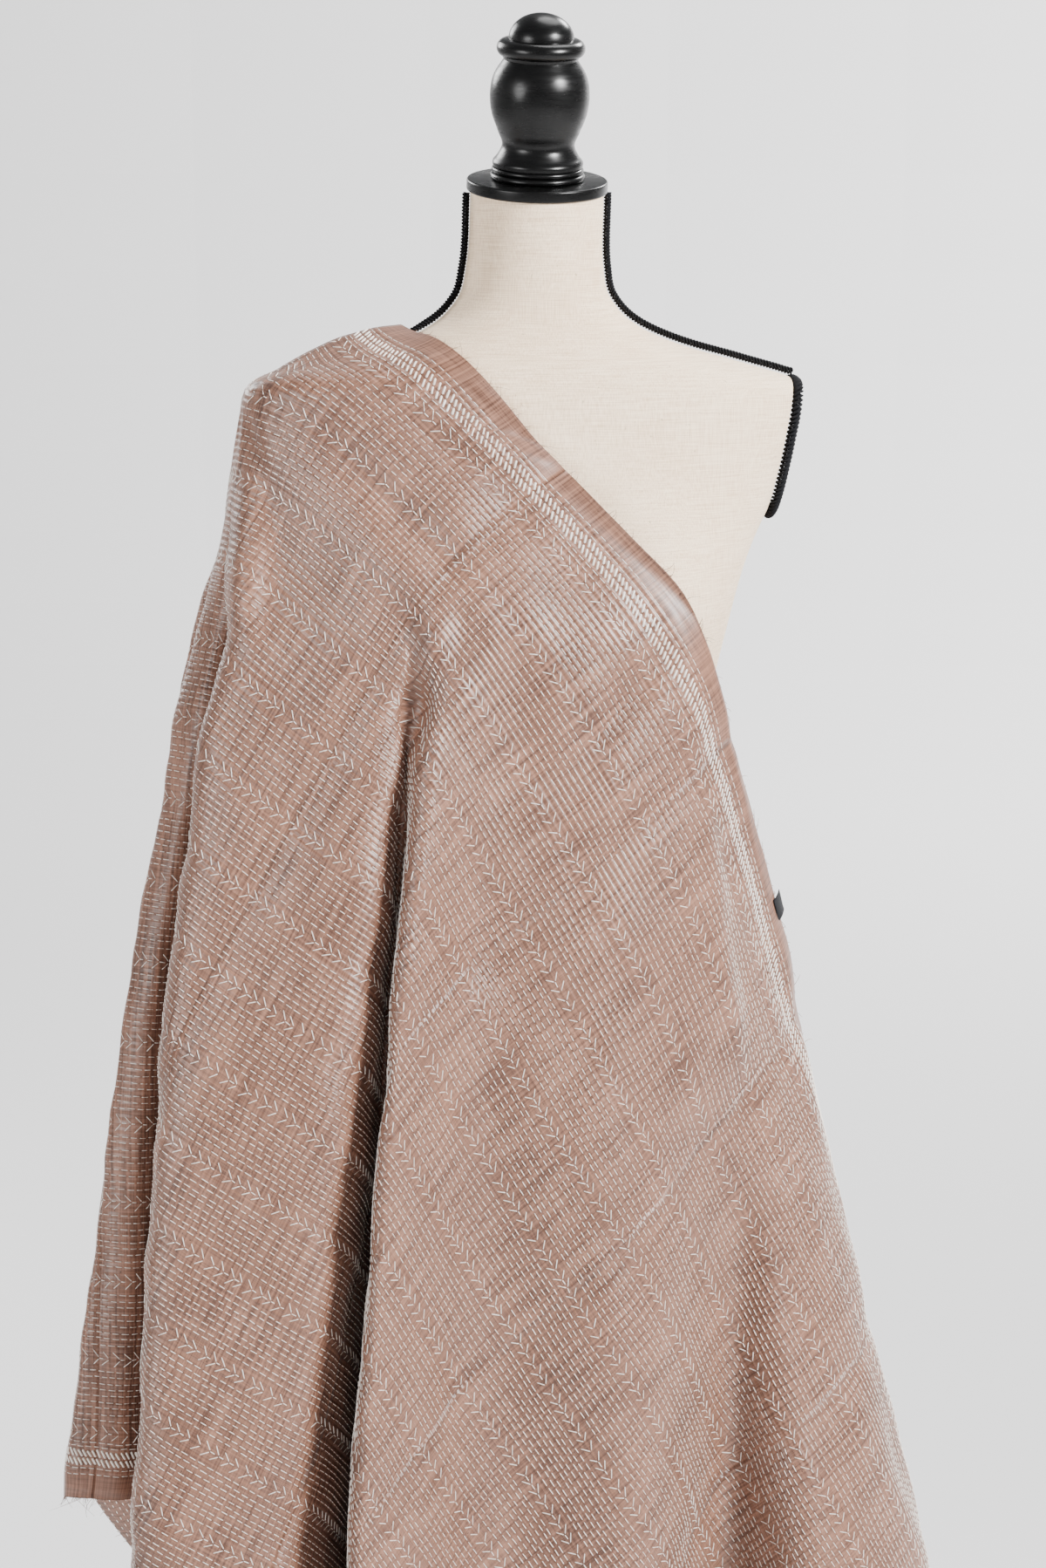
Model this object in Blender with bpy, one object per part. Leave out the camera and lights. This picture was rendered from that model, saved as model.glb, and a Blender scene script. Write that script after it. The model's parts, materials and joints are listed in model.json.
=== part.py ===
"""A stitched dupatta over the shoulder of a limbless dress form on a turned stand.

Metres, +Z up. The origin is on the floor at the pole's axis and the form faces -Y, so +X is the
side of its left shoulder. The cloth lies over the other shoulder, falls across the chest to the
left hip, and hangs down the back. Lengthways on the cloth is s, 0 at the shoulder and positive in
front. Across it is t, 0 at the edge by the neck.
"""

import math
from collections import namedtuple

import bmesh
import bpy
import numpy as np
from mathutils import Matrix

for old in list(bpy.data.objects):
    bpy.data.objects.remove(old, do_unlink=True)

# The cloth's cut and its wall.
CLOTH_WIDTH = 0.944
FRONT_LENGTH = 1.150
BACK_LENGTH = 1.100
WALL = 0.0014
SEAM = 0.0003
LAY = 0.0034  # from the form to the middle of the cloth's wall

# The form, from floor to finial.
BASE_RADIUS = 0.170
BASE_HEIGHT = 0.030
POLE_RADIUS = 0.016
TORSO_BOTTOM = 0.820
NECK_TOP = 1.566
NECK_LEAN = math.radians(10)
NECK_FORWARD = 0.016
CLEARANCE = 0.0003

# The flat ends at the armholes: a point on the +X one, and how far it faces down.
ARM_X = 0.190
ARM_Z = 1.430
ARM_TILT = math.radians(9)

ARM_MIDDLE = 1.386
WAIST_Z = 1.120
SHOULDER_Z = 1.450
SHOULDER_END = 1.4265
NECK_BASE = 1.487

# The braided trim: radii, and where it lies on the armhole's outline and under the neck plate.
SHOULDER_ROPE = 0.0024
ARMHOLE_ROPE = 0.0030
ROPE_INSET = 0.0030
ROPE_DROP = 0.0012
LABEL_SPAN = (0.571, 0.589)
LABEL_THICK = 0.0006
LABEL_GAP = 0.0007

# Level sections of the form.
Section = namedtuple("Section", "z half_width front back middle")
TORSO = [
    Section(TORSO_BOTTOM, 0.160, 0.088, 0.104, 0.000),
    Section(0.880, 0.173, 0.091, 0.111, 0.000),
    Section(0.940, 0.176, 0.091, 0.112, 0.000),
    Section(1.000, 0.164, 0.088, 0.104, 0.000),
    Section(1.060, 0.142, 0.082, 0.090, 0.000),
    Section(1.120, 0.125, 0.078, 0.081, 0.000),
    Section(1.180, 0.130, 0.082, 0.081, 0.002),
    Section(1.240, 0.143, 0.087, 0.088, 0.004),
    Section(1.300, 0.162, 0.088, 0.095, 0.006),
    Section(1.350, 0.186, 0.084, 0.095, 0.007),
    Section(1.388, 0.202, 0.076, 0.089, 0.003),
    Section(1.412, 0.206, 0.069, 0.080, -0.002),
    Section(1.427, 0.196, 0.0645, 0.0735, -0.004),
    Section(1.440, 0.155, 0.061, 0.068, -0.003),
    Section(1.453, 0.110, 0.0575, 0.062, 0.000),
    Section(1.467, 0.078, 0.054, 0.057, 0.001),
    Section(1.487, 0.057, 0.051, 0.051, -0.001),
    Section(1.510, 0.0505, 0.0495, 0.0495, -0.005),
    Section(NECK_TOP, 0.0485, 0.0485, 0.0485, -NECK_FORWARD),
]
ROUNDNESS = 2.4
Bust = namedtuple("Bust", "apart z reach wide tall")
BUST = Bust(apart=0.078, z=1.262, reach=0.035, wide=0.056, tall=0.062)
BUST_FADE = 4

# Where the cloth crosses the shoulder: the neck side and the tip, and how far along t they are.
NECK_SIDE = np.array((-0.098, 0.001, 1.4690))
SHOULDER_TIP = np.array((-0.2035, -0.005, 1.4280))
TIP_T = 0.112
SHOULDER_ARCH = 0.0088

# How the fold lines are drawn over the form.
FINE_ROWS = 24
TIGHTENINGS = 160
ROUNDINGS = 8
GRADIENT_STEP = 0.0001
MOST_MOVED = 0.010
TRIM_STARTS = (0.150, 0.190)  # half-widths between which the armhole trim begins to stand proud

# One row for each ridge and valley line, from the edge over the left hip round to the back edge.
# A line runs from top_t on the shoulder by the bust and the hip to the hem. Each "cut" is a place
# (s, t) on the flat cloth, None where the line is straight there; the others are real places.
Fold = namedtuple("Fold", "name top_t bust_cut bust hip_cut hip hem_cut hem")
FRONT_END = FRONT_LENGTH
BACK_END = -BACK_LENGTH
LOW = CLOTH_WIDTH
FOLDS = [
    Fold("edge", 0.000, (0.318, 0.000), (0.099, -0.127, 1.275), (0.680, 0.000),
         (0.203, -0.018, 0.955), (FRONT_END, 0.00), (0.250, 0.085)),
    Fold("wrap", 0.008, (0.324, 0.008), (0.101, -0.126, 1.268), (0.680, 0.020),
         (0.195, -0.034, 0.955), (FRONT_END, 0.10), (0.310, 0.010)),
    Fold("side", 0.018, (0.328, 0.014), (0.099, -0.127, 1.263), (0.680, 0.036),
         (0.184, -0.045, 0.955), (FRONT_END, 0.20), (0.297, -0.078)),
    Fold("right", 0.030, (0.322, 0.020), (0.092, -0.129, 1.262), (0.655, 0.075),
         (0.152, -0.078, 0.955), (FRONT_END, 0.35), (0.210, -0.150)),
    Fold("hollow", 0.042, (0.312, 0.031), (0.080, -0.129, 1.261), (0.620, 0.115),
         (0.128, -0.112, 0.955), (FRONT_END, 0.49), (0.135, -0.050)),
    Fold("middle", 0.062, (0.280, 0.068), (0.030, -0.129, 1.262), (0.550, 0.200),
         (0.035, -0.150, 0.960), (FRONT_END, 0.67), (0.055, -0.185)),
    Fold("soft", 0.082, (0.245, 0.108), (-0.030, -0.129, 1.262), (0.485, 0.295),
         (-0.056, -0.138, 0.960), (FRONT_END, 0.77), (-0.030, -0.125)),
    Fold("corner", 0.094, (0.228, 0.128), (-0.055, -0.129, 1.262), (0.466, 0.332),
         (-0.095, -0.152, 0.960), (FRONT_END, LOW), (-0.150, -0.190)),
    Fold("ridge", 0.103, (0.210, 0.150), (-0.080, -0.130, 1.258), (0.440, 0.375),
         (-0.127, -0.168, 0.960), (1.070, LOW), (-0.200, -0.215)),
    Fold("deep", 0.108, (0.190, 0.172), (-0.103, -0.118, 1.254), (0.365, 0.420),
         (-0.124, -0.098, 0.960), (0.735, LOW), (-0.150, -0.020)),
    Fold("left", TIP_T, (0.172, 0.188), (-0.120, -0.112, 1.250), (0.290, 0.465),
         (-0.160, -0.148, 0.960), (0.510, LOW), (-0.210, -0.150)),
    Fold("panel", TIP_T, (0.130, 0.240), (-0.176, -0.093, 1.235), (0.230, 0.505),
         (-0.222, -0.140, 0.960), (0.430, LOW), (-0.250, -0.160)),
    Fold("fold", TIP_T, (0.085, 0.315), (-0.242, -0.075, 1.207), (0.165, 0.545),
         (-0.285, -0.115, 0.960), (0.360, LOW), (-0.318, -0.140)),
    Fold("valley", TIP_T, None, (-0.224, -0.030, 1.225), None,
         (-0.250, 0.000, 0.960), (0.120, LOW), (-0.235, 0.060)),
    Fold("strip", TIP_T, None, (-0.247, -0.032, 1.222), None,
         (-0.293, -0.048, 0.960), (-0.02, LOW), (-0.315, -0.050)),
    Fold("outer", TIP_T, None, (-0.259, -0.012, 1.224), None,
         (-0.312, -0.035, 0.960), (-0.08, LOW), (-0.358, -0.040)),
    Fold("back_1", TIP_T, None, (-0.226, 0.030, 1.230), None,
         (-0.235, 0.042, 0.960), (-0.27, LOW), (-0.250, 0.110)),
    Fold("back_2", TIP_T, None, (-0.250, 0.060, 1.240), None,
         (-0.290, 0.085, 0.960), (-0.45, LOW), (-0.320, 0.245)),
    Fold("back_3", TIP_T, None, (-0.216, 0.068, 1.250), None,
         (-0.225, 0.100, 0.960), (-0.63, LOW), (-0.220, 0.150)),
    Fold("back_4", TIP_T, None, (-0.232, 0.096, 1.258), None,
         (-0.265, 0.142, 0.960), (-0.80, LOW), (-0.270, 0.270)),
    Fold("back_5", TIP_T, None, (-0.202, 0.088, 1.262), None,
         (-0.222, 0.136, 0.960), (-0.96, LOW), (-0.200, 0.190)),
    Fold("back_6", TIP_T, None, (-0.205, 0.118, 1.266), None,
         (-0.232, 0.170, 0.960), (BACK_END, LOW), (-0.220, 0.280)),
    Fold("back_7", TIP_T, None, (-0.183, 0.104, 1.268), None,
         (-0.190, 0.142, 0.960), (BACK_END, 0.77), (-0.155, 0.170)),
    Fold("back_8", TIP_T, None, (-0.178, 0.126, 1.270), None,
         (-0.202, 0.200, 0.960), (BACK_END, 0.58), (-0.150, 0.330)),
    Fold("back_9", TIP_T, None, (-0.163, 0.110, 1.270), None,
         (-0.162, 0.142, 0.960), (BACK_END, 0.38), (-0.100, 0.160)),
    Fold("back_10", 0.108, None, (-0.148, 0.118, 1.270), None,
         (-0.142, 0.205, 0.960), (BACK_END, 0.20), (-0.070, 0.320)),
    Fold("back_middle", 0.060, None, (-0.120, 0.106, 1.270), None,
         (-0.100, 0.150, 0.960), (BACK_END, 0.10), (-0.020, 0.240)),
    Fold("back_edge", 0.000, None, (-0.092, 0.104, 1.270), None,
         (-0.050, 0.130, 0.960), (BACK_END, 0.00), (0.030, 0.170)),
]
FADE_WIDTH = 0.45  # how far round the cloth the folds even out toward the shoulder
LINES_PER_FOLD = 3
ROWS = (10, 5, 7)  # shoulder to bust, bust to hip, hip to hem
ROWS_CLOSE_UP = 1.25  # how much closer the rows lie at the shoulder
PIECES = {
    "dupatta_front": ("edge", "fold"),
    "dupatta_fall": ("fold", "back_1"),
    "dupatta_back": ("back_1", "back_edge"),
}


def curve_through(knots, values, at):
    """A smooth curve through the values, which at a fold's tip turns without running past it."""
    step = np.diff(knots)[:, None]
    slope = np.diff(values, axis=0) / step
    tangent = np.vstack([slope[:1], (slope[:-1] + slope[1:]) / 2, slope[-1:]])
    i = np.clip(np.searchsorted(knots, at, side="right") - 1, 0, len(knots) - 2)
    w = ((at - knots[i]) / step[i, 0])[..., None]
    return (
        (1 + 2 * w) * (1 - w) ** 2 * values[i]
        + w * (1 - w) ** 2 * step[i] * tangent[i]
        + w**2 * (3 - 2 * w) * values[i + 1]
        + w**2 * (w - 1) * step[i] * tangent[i + 1]
    )


def form_at(z, column):
    """A size of the form's sections, at any height."""
    rows = np.array(TORSO)
    size = rows[:, [Section._fields.index(column)]]
    return curve_through(rows[:, 0], size, np.clip(z, TORSO_BOTTOM, NECK_TOP))[..., 0]


def rounding(x, z):
    """How much of a section's depth is left this far to the side, from 1 to 0."""
    share = np.abs(x) / form_at(z, "half_width")
    return np.sqrt(np.clip(1 - share**ROUNDNESS, 0, 1))


def bust_depth(x, z, bridged):
    """The bust's depth over the section; cloth bridges the space between its two sides."""
    across = np.abs(x) - BUST.apart
    if bridged:
        across = np.maximum(across, 0)
    return BUST.reach * np.exp(-((across / BUST.wide) ** 2) - ((z - BUST.z) / BUST.tall) ** 2)


def arm_x(z):
    """How far out the flat armhole end lies at this height."""
    return ARM_X + (z - ARM_Z) * math.tan(ARM_TILT)


def form_field(points):
    """Below 0 inside the form, its ends rounded off round the armhole trim, and above 0 outside."""
    x, y, z = np.moveaxis(points, -1, 0)
    across = np.abs(x) - np.interp(np.abs(x), TRIM_STARTS, (0, 2 * ARMHOLE_ROPE))
    ahead = form_at(z, "middle") - y
    front = np.maximum(ahead - bust_depth(x, z, True), 0) / form_at(z, "front")
    depth = np.where(ahead > 0, front, ahead / form_at(z, "back"))
    field = (across / form_at(z, "half_width")) ** ROUNDNESS + depth**2 - 1
    return np.where(z > TORSO_BOTTOM, field, 1.0)


def clear_of_form(points):
    """Moves places of the cloth straight out of the form, until they lie on it or off it."""
    field = form_field(points)
    steps = np.eye(3) * GRADIENT_STEP
    rise = np.stack([form_field(points + step) - field for step in steps], axis=-1) / GRADIENT_STEP
    steep = np.maximum(np.linalg.norm(rise, axis=-1), GRADIENT_STEP)
    short = np.clip(LAY - field / steep, 0, MOST_MOVED)
    return points + rise * (short / steep)[..., None]


def tight(lines):
    """Fold lines drawn tight over the form."""
    for _ in range(TIGHTENINGS):
        lines[:, 1:-1] = clear_of_form((lines[:, :-2] + lines[:, 2:]) / 2)
    return lines


def rounded(lines):
    """Fold lines with their corners eased."""
    for _ in range(ROUNDINGS):
        lines[:, 2:-1] = clear_of_form((lines[:, 1:-2] + 2 * lines[:, 2:-1] + lines[:, 3:]) / 4)
    return lines


def shoulder_point(t):
    """Where the cloth crosses the shoulder, a low arch over its slope."""
    share = np.atleast_1d(t)[:, None] / TIP_T
    arch = np.array((0, 0, SHOULDER_ARCH)) * 4 * share * (1 - share)
    return NECK_SIDE + (SHOULDER_TIP - NECK_SIDE) * share + arch


def stations(fold):
    """The four places that a fold line runs through, on the flat cloth and in space."""
    top = shoulder_point(fold.top_t)[0]
    bust, hip = np.array(fold.bust), np.array(fold.hip)
    top_cut, hem_cut = np.array((0, fold.top_t)), np.array(fold.hem_cut)
    if fold.bust_cut is None:
        along = (hem_cut - top_cut) / np.linalg.norm(hem_cut - top_cut)
        to_bust = np.linalg.norm(bust - top)
        bust_cut = top_cut + along * to_bust
        hip_cut = bust_cut + along * np.linalg.norm(hip - bust)
    else:
        bust_cut, hip_cut = np.array(fold.bust_cut), np.array(fold.hip_cut)
    # The last stretch keeps its length, which gives the hem's height.
    length = np.linalg.norm(hem_cut - hip_cut)
    drop = math.sqrt(length**2 - (fold.hem[0] - hip[0]) ** 2 - (fold.hem[1] - hip[1]) ** 2)
    hem = np.array((*fold.hem, hip[2] - drop))
    return np.array((top_cut, bust_cut, hip_cut, hem_cut)), np.array((top, bust, hip, hem))


def draped(across, down):
    """Cloth at fold numbers `across` and station numbers `down`: flat places and real ones."""
    cuts, places = zip(*(stations(fold) for fold in FOLDS))
    cuts, places = np.array(cuts), np.array(places)
    spread = sum(np.linalg.norm(np.diff(places[:, k], axis=0), axis=1) for k in (2, 3))
    knots = np.concatenate([[0], np.cumsum(spread)])
    at = np.interp(across, np.arange(len(FOLDS)), knots)
    top_t = np.interp(at, knots, [fold.top_t for fold in FOLDS])
    tops = [shoulder_point(top_t)]
    lines = tops + [curve_through(knots, places[:, k], at) for k in (1, 2, 3)]
    top_cuts = [np.stack([0 * top_t, top_t], axis=1)]
    flats = top_cuts + [curve_through(knots, cuts[:, k], at) for k in (1, 2, 3)]
    # Toward the shoulder the folds flatten out.
    near = np.exp(-(((at[:, None] - knots) / FADE_WIDTH) ** 2))
    even = near @ places[:, 1] / near.sum(axis=1)[:, None]
    fine = np.arange(3 * FINE_ROWS + 1) / FINE_ROWS
    stretch = np.minimum(fine.astype(int), 2)
    w = (fine - stretch)[:, None, None]
    real, flat = (
        np.moveaxis(np.array(rows)[stretch] * (1 - w) + np.array(rows)[stretch + 1] * w, 0, 1)
        for rows in (lines, flats)
    )
    upper = slice(FINE_ROWS + 1)
    real[:, upper] = tight(real[:, upper])
    easing = (fine * (1 - fine**2))[None, upper, None]
    real[:, upper] += easing * (even - lines[1])[:, None]
    real = rounded(real)
    row = np.minimum((down * FINE_ROWS).astype(int), 3 * FINE_ROWS - 1)
    w = (down * FINE_ROWS - row)[None, :, None]
    return tuple(grid[:, row] * (1 - w) + grid[:, row + 1] * w for grid in (flat, real))


def material(name, color, roughness):
    made = bpy.data.materials.new(name)
    made.use_nodes = True
    shader = made.node_tree.nodes["Principled BSDF"]
    shader.inputs["Base Color"].default_value = (*color, 1)
    shader.inputs["Roughness"].default_value = roughness
    made.diffuse_color = (*color, 1)
    return made


def finished(name, shape, look, sharp=math.radians(40)):
    """Closes a bmesh into an object of this name, with its faces out and round parts smooth."""
    bmesh.ops.recalc_face_normals(shape, faces=shape.faces)
    mesh = bpy.data.meshes.new(name)
    shape.to_mesh(mesh)
    shape.free()
    mesh.shade_smooth()
    mesh.set_sharp_from_angle(angle=sharp)
    mesh.materials.append(look)
    made = bpy.data.objects.new(name, mesh)
    bpy.context.scene.collection.objects.link(made)
    return made


def wall(name, middle, normals, closed_faces, look):
    """A cloth wall: the middle surface's points moved out and in, and its open edges closed."""
    closed_faces = [part for face in closed_faces for part in halves(middle, face)]
    shape = bmesh.new()
    outer = [shape.verts.new(p) for p in middle + normals * WALL / 2]
    inner = [shape.verts.new(p) for p in middle - normals * WALL / 2]
    edges = {}
    for face in closed_faces:
        shape.faces.new([outer[i] for i in face])
        shape.faces.new([inner[i] for i in reversed(face)])
        for a, b in zip(face, face[1:] + face[:1]):
            edges[a, b] = edges.get((b, a), 0) + 1
            if (b, a) in edges:
                del edges[a, b], edges[b, a]
    for a, b in edges:
        shape.faces.new((outer[b], outer[a], inner[a], inner[b]))
    return finished(name, shape, look, sharp=math.radians(60))


def halves(points, face):
    """A face of four corners as two of three, cut along its shorter diagonal."""
    if len(face) == 3:
        return [face]
    a, b, c, d = face
    if np.linalg.norm(points[a] - points[c]) <= np.linalg.norm(points[b] - points[d]):
        return [(a, b, c), (a, c, d)]
    return [(b, c, d), (b, d, a)]


def grid_faces(columns, rows):
    for i in range(columns - 1):
        for j in range(rows - 1):
            yield (i * rows + j, i * rows + j + 1, (i + 1) * rows + j + 1, (i + 1) * rows + j)


def merged(points, faces):
    """One number for each distinct place, and the faces with the repeats taken out."""
    _, first, number = np.unique(np.round(points, 6), axis=0, return_index=True, return_inverse=True)
    number = number.reshape(-1)
    clean = []
    for face in faces:
        corners = [int(number[i]) for i in face]
        corners = [c for k, c in enumerate(corners) if c != corners[k - 1]]
        if len(corners) > 2:
            clean.append(tuple(corners))
    return first, number, clean


def face_normal(points, face):
    """A face's unit normal; a large face counts no more than a small one, so a fold's tip is even."""
    if len(face) == 3:
        normal = np.cross(points[face[1]] - points[face[0]], points[face[2]] - points[face[0]])
    else:
        normal = np.cross(points[face[2]] - points[face[0]], points[face[3]] - points[face[1]])
    return normal / np.linalg.norm(normal)


def cloth(look):
    """The dupatta's three nodes, parted by seams inside its folds and on the shoulder line."""
    names = [fold.name for fold in FOLDS]
    across = np.arange((len(FOLDS) - 1) * LINES_PER_FOLD + 1) / LINES_PER_FOLD
    down = np.concatenate([[0]] + [k + (np.arange(n) + 1) / n for k, n in enumerate(ROWS)])
    down = np.where(down < 1, down**ROWS_CLOSE_UP, down)
    _, real = draped(across, down)
    columns, rows = real.shape[:2]
    points = real.reshape(-1, 3)
    first, number, faces = merged(points, grid_faces(columns, rows))
    normals = np.zeros((len(first), 3))
    for face in faces:
        normals[list(face)] += face_normal(points[first], face)
    normals /= np.linalg.norm(normals, axis=1)[:, None]
    normals = normals[number].reshape(columns, rows, 3)
    normals[:, 0] *= (1, 0, 1)
    normals[:, 0] /= np.linalg.norm(normals[:, 0], axis=1)[:, None]
    for name, (start, end) in PIECES.items():
        low = names.index(start) * LINES_PER_FOLD
        high = names.index(end) * LINES_PER_FOLD
        piece = real[low : high + 1].copy()
        # Each piece draws back half a seam from the shoulder line and from its neighbours.
        for edge, inward in ((0, 1), (-1, -2)):
            if (low, high)[edge] not in (0, columns - 1):
                pull = piece[inward, 1:] - piece[edge, 1:]
                piece[edge, 1:] += pull * SEAM / 2 / np.linalg.norm(pull, axis=1)[:, None]
        pull = piece[:, 1] - piece[:, 0]
        tip = np.linalg.norm(piece[:, 0] - SHOULDER_TIP, axis=1) < SEAM
        pull[tip] = pull[tip].mean(axis=0)
        piece[:, 0] += pull * SEAM / np.linalg.norm(pull, axis=1)[:, None]
        flat_points = piece.reshape(-1, 3)
        first, _, faces = merged(flat_points, grid_faces(len(piece), rows))
        facing = normals[low : high + 1].reshape(-1, 3)[first]
        wall(name, flat_points[first], facing, faces, look)


def label(look):
    """The bare label sewn on near the hip, made from the cloth's points moved out."""
    fine = np.linspace(1.0, 2.0, 201)
    flat, real = draped(np.array((0.0, 0.9)), fine)
    inside = (flat[0, :, 0] > LABEL_SPAN[0]) & (flat[0, :, 0] < LABEL_SPAN[1])
    near, far = real[0, inside][[0, -1]], real[1, inside][[0, -1]]
    facing = np.cross(far[0] - near[0], near[1] - near[0])
    facing /= np.linalg.norm(facing)
    if facing[0] < 0:
        facing = -facing
    lift = facing * (WALL / 2 + LABEL_GAP)
    shape = bmesh.new()
    corners = [near[0], near[1], far[1], far[0]]
    under = [shape.verts.new(p + lift) for p in corners]
    over = [shape.verts.new(p + lift + facing * LABEL_THICK) for p in corners]
    shape.faces.new(under)
    shape.faces.new(over)
    for k in range(4):
        shape.faces.new((under[k - 1], under[k], over[k], over[k - 1]))
    return finished("edge_label", shape, look)


def section_ring(z, count=36):
    """A level section: flattened at the sides with the bust in front, or round on the neck."""
    size = Section(z, *(form_at(z, column) for column in Section._fields[1:]))
    squareness = np.interp(z, (SHOULDER_Z, NECK_BASE), (2 / ROUNDNESS, 1))
    tilt = math.tan(NECK_LEAN) * np.interp(z, (NECK_BASE, NECK_TOP), (0, 1))
    for k in range(count):
        angle = math.tau * (k + 0.5) / count
        x = size.half_width * math.copysign(abs(math.cos(angle)) ** squareness, math.cos(angle))
        depth = abs(math.sin(angle))
        if math.sin(angle) < 0:
            y = -size.front * depth - bust_depth(x, z, False) * min(1, BUST_FADE * depth)
        else:
            y = size.back * depth
        yield x, y + size.middle, z + y * tilt


def torso(look):
    """The form: sections from the bottom to the neck, cut flat at the armholes."""
    rows = len(TORSO)
    heights = np.interp(np.arange(2 * rows - 1) / 2, np.arange(rows), [row.z for row in TORSO])
    shape = bmesh.new()
    rings = [[shape.verts.new(p) for p in section_ring(z)] for z in heights]
    for lower, upper in zip(rings, rings[1:]):
        for k in range(len(lower)):
            shape.faces.new((lower[k - 1], lower[k], upper[k], upper[k - 1]))
    shape.faces.new(rings[0])
    shape.faces.new(rings[-1])
    for side in (-1, 1):
        upper = [f for f in shape.faces if min(v.co.z for v in f.verts) > WAIST_Z]
        cut = bmesh.ops.bisect_plane(
            shape,
            geom=list({part for f in upper for part in (f, *f.edges, *f.verts)}),
            plane_co=(side * ARM_X, 0, ARM_Z),
            plane_no=(side * math.cos(ARM_TILT), 0, -math.sin(ARM_TILT)),
            clear_outer=True,
        )
        rim = [e for e in cut["geom_cut"] if isinstance(e, bmesh.types.BMEdge)]
        bmesh.ops.contextual_create(shape, geom=rim)
    bmesh.ops.triangulate(shape, faces=[f for f in shape.faces if len(f.verts) > 4])
    return finished("form_torso", shape, look)


def armhole_rim(side, out, count=32):
    """The outline of a flat armhole end, moved out from it."""
    centre = np.array((form_at(ARM_MIDDLE, "middle"), ARM_MIDDLE))
    for k in range(count):
        angle = math.tau * k / count
        toward = np.array((math.cos(angle), math.sin(angle)))
        near, far = 0.0, ARM_MIDDLE - TORSO_BOTTOM
        for _ in range(24):
            reach = (near + far) / 2
            y, z = centre + toward * reach
            side_depth = form_at(z, "front" if y < form_at(z, "middle") else "back")
            depth = side_depth * rounding(arm_x(z), z)
            if depth > 0 and abs(y - form_at(z, "middle")) < depth:
                near = reach
            else:
                far = reach
        y, z = centre + toward * (near - ROPE_INSET)
        x = arm_x(z) + out / math.cos(ARM_TILT)
        yield side * x, y, z


def shoulder_run(side, out, count=36):
    """The side line of neck and shoulder, from the neck plate to the armhole, moved out."""
    top = NECK_TOP - ROPE_DROP
    neck = np.linspace(top, SHOULDER_Z, count // 2)
    heights = [*neck, *np.linspace(SHOULDER_Z, SHOULDER_END, count // 2)[1:]]
    line = np.array([(form_at(z, "half_width"), z) for z in heights])
    for place, z, slope in zip(line, heights, np.gradient(line, axis=0)):
        facing = np.array((-slope[1], slope[0])) / np.linalg.norm(slope)
        x, z_out = place + facing * out
        if x < ARM_X - CLEARANCE:
            yield side * x, form_at(z, "middle"), z_out


def turned(name, outline, look, segments=28, place=None):
    """A round piece from (radius, height) points that start and end on its axis."""
    shape = bmesh.new()
    profile = [shape.verts.new((radius, 0, height)) for radius, height in outline]
    edges = [shape.edges.new(pair) for pair in zip(profile, profile[1:])]
    bmesh.ops.spin(
        shape,
        geom=profile + edges,
        cent=(0, 0, 0),
        axis=(0, 0, 1),
        angle=math.tau,
        steps=segments,
        use_merge=True,
    )
    bmesh.ops.remove_doubles(shape, verts=shape.verts, dist=1e-6)
    made = finished(name, shape, look, sharp=math.radians(35))
    if place is not None:
        made.matrix_world = place
    return made


def arc(radius, height, reach, rise, start, end, count):
    """Points of an ellipse about (radius, height), its angles in degrees."""
    angles = [math.radians(start + (end - start) * k / count) for k in range(count + 1)]
    return [(radius + reach * math.cos(a), height + rise * math.sin(a)) for a in angles]


def neck_top():
    """The frame in which the neck plate and the finial stand."""
    return Matrix.Translation((0, -NECK_FORWARD, NECK_TOP)) @ Matrix.Rotation(NECK_LEAN, 4, "X")


# The finial's foot, waist and egg: heights and radii.
EGG = np.array([
    (0.0096, 0.0328), (0.0130, 0.0330), (0.0170, 0.0300), (0.0250, 0.0265), (0.0350, 0.0300),
    (0.0480, 0.0347), (0.0620, 0.0362), (0.0760, 0.0336), (0.0870, 0.0270),
])


def finial(look):
    """The neck plate, and on it the turned knob that crowns the form."""
    plate = 0.0085
    lift = Matrix.Translation((0, 0, CLEARANCE))
    turned("neck_plate", [(0, 0)] + arc(0.0500, 0.0015, 0.0015, 0.0015, -90, 0, 3)
           + arc(0.0500, plate - 0.0015, 0.0015, 0.0015, 0, 90, 3) + [(0, plate)],
           look, place=neck_top() @ lift)
    stand = neck_top() @ lift @ Matrix.Translation((0, 0, plate + CLEARANCE))
    knob = [(0, 0)]
    knob += arc(0.0321, 0.0024, 0.0024, 0.0024, -90, 90, 4)
    knob += arc(0.0318, 0.0070, 0.0018, 0.0020, -90, 90, 4)
    swell = curve_through(EGG[:, 0], EGG[:, 1:], np.linspace(EGG[0, 0], EGG[-1, 0], 22))
    knob += list(zip(swell[:, 0], np.linspace(EGG[0, 0], EGG[-1, 0], 22)))
    knob += arc(0.0258, 0.0952, 0.0064, 0.0064, -70, 90, 7)
    knob += arc(0.0, 0.1020, 0.0238, 0.0185, 0, 90, 7)[:-1]
    knob += [(0, 0.1205)]
    turned("finial", knob, look, place=stand)


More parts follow.
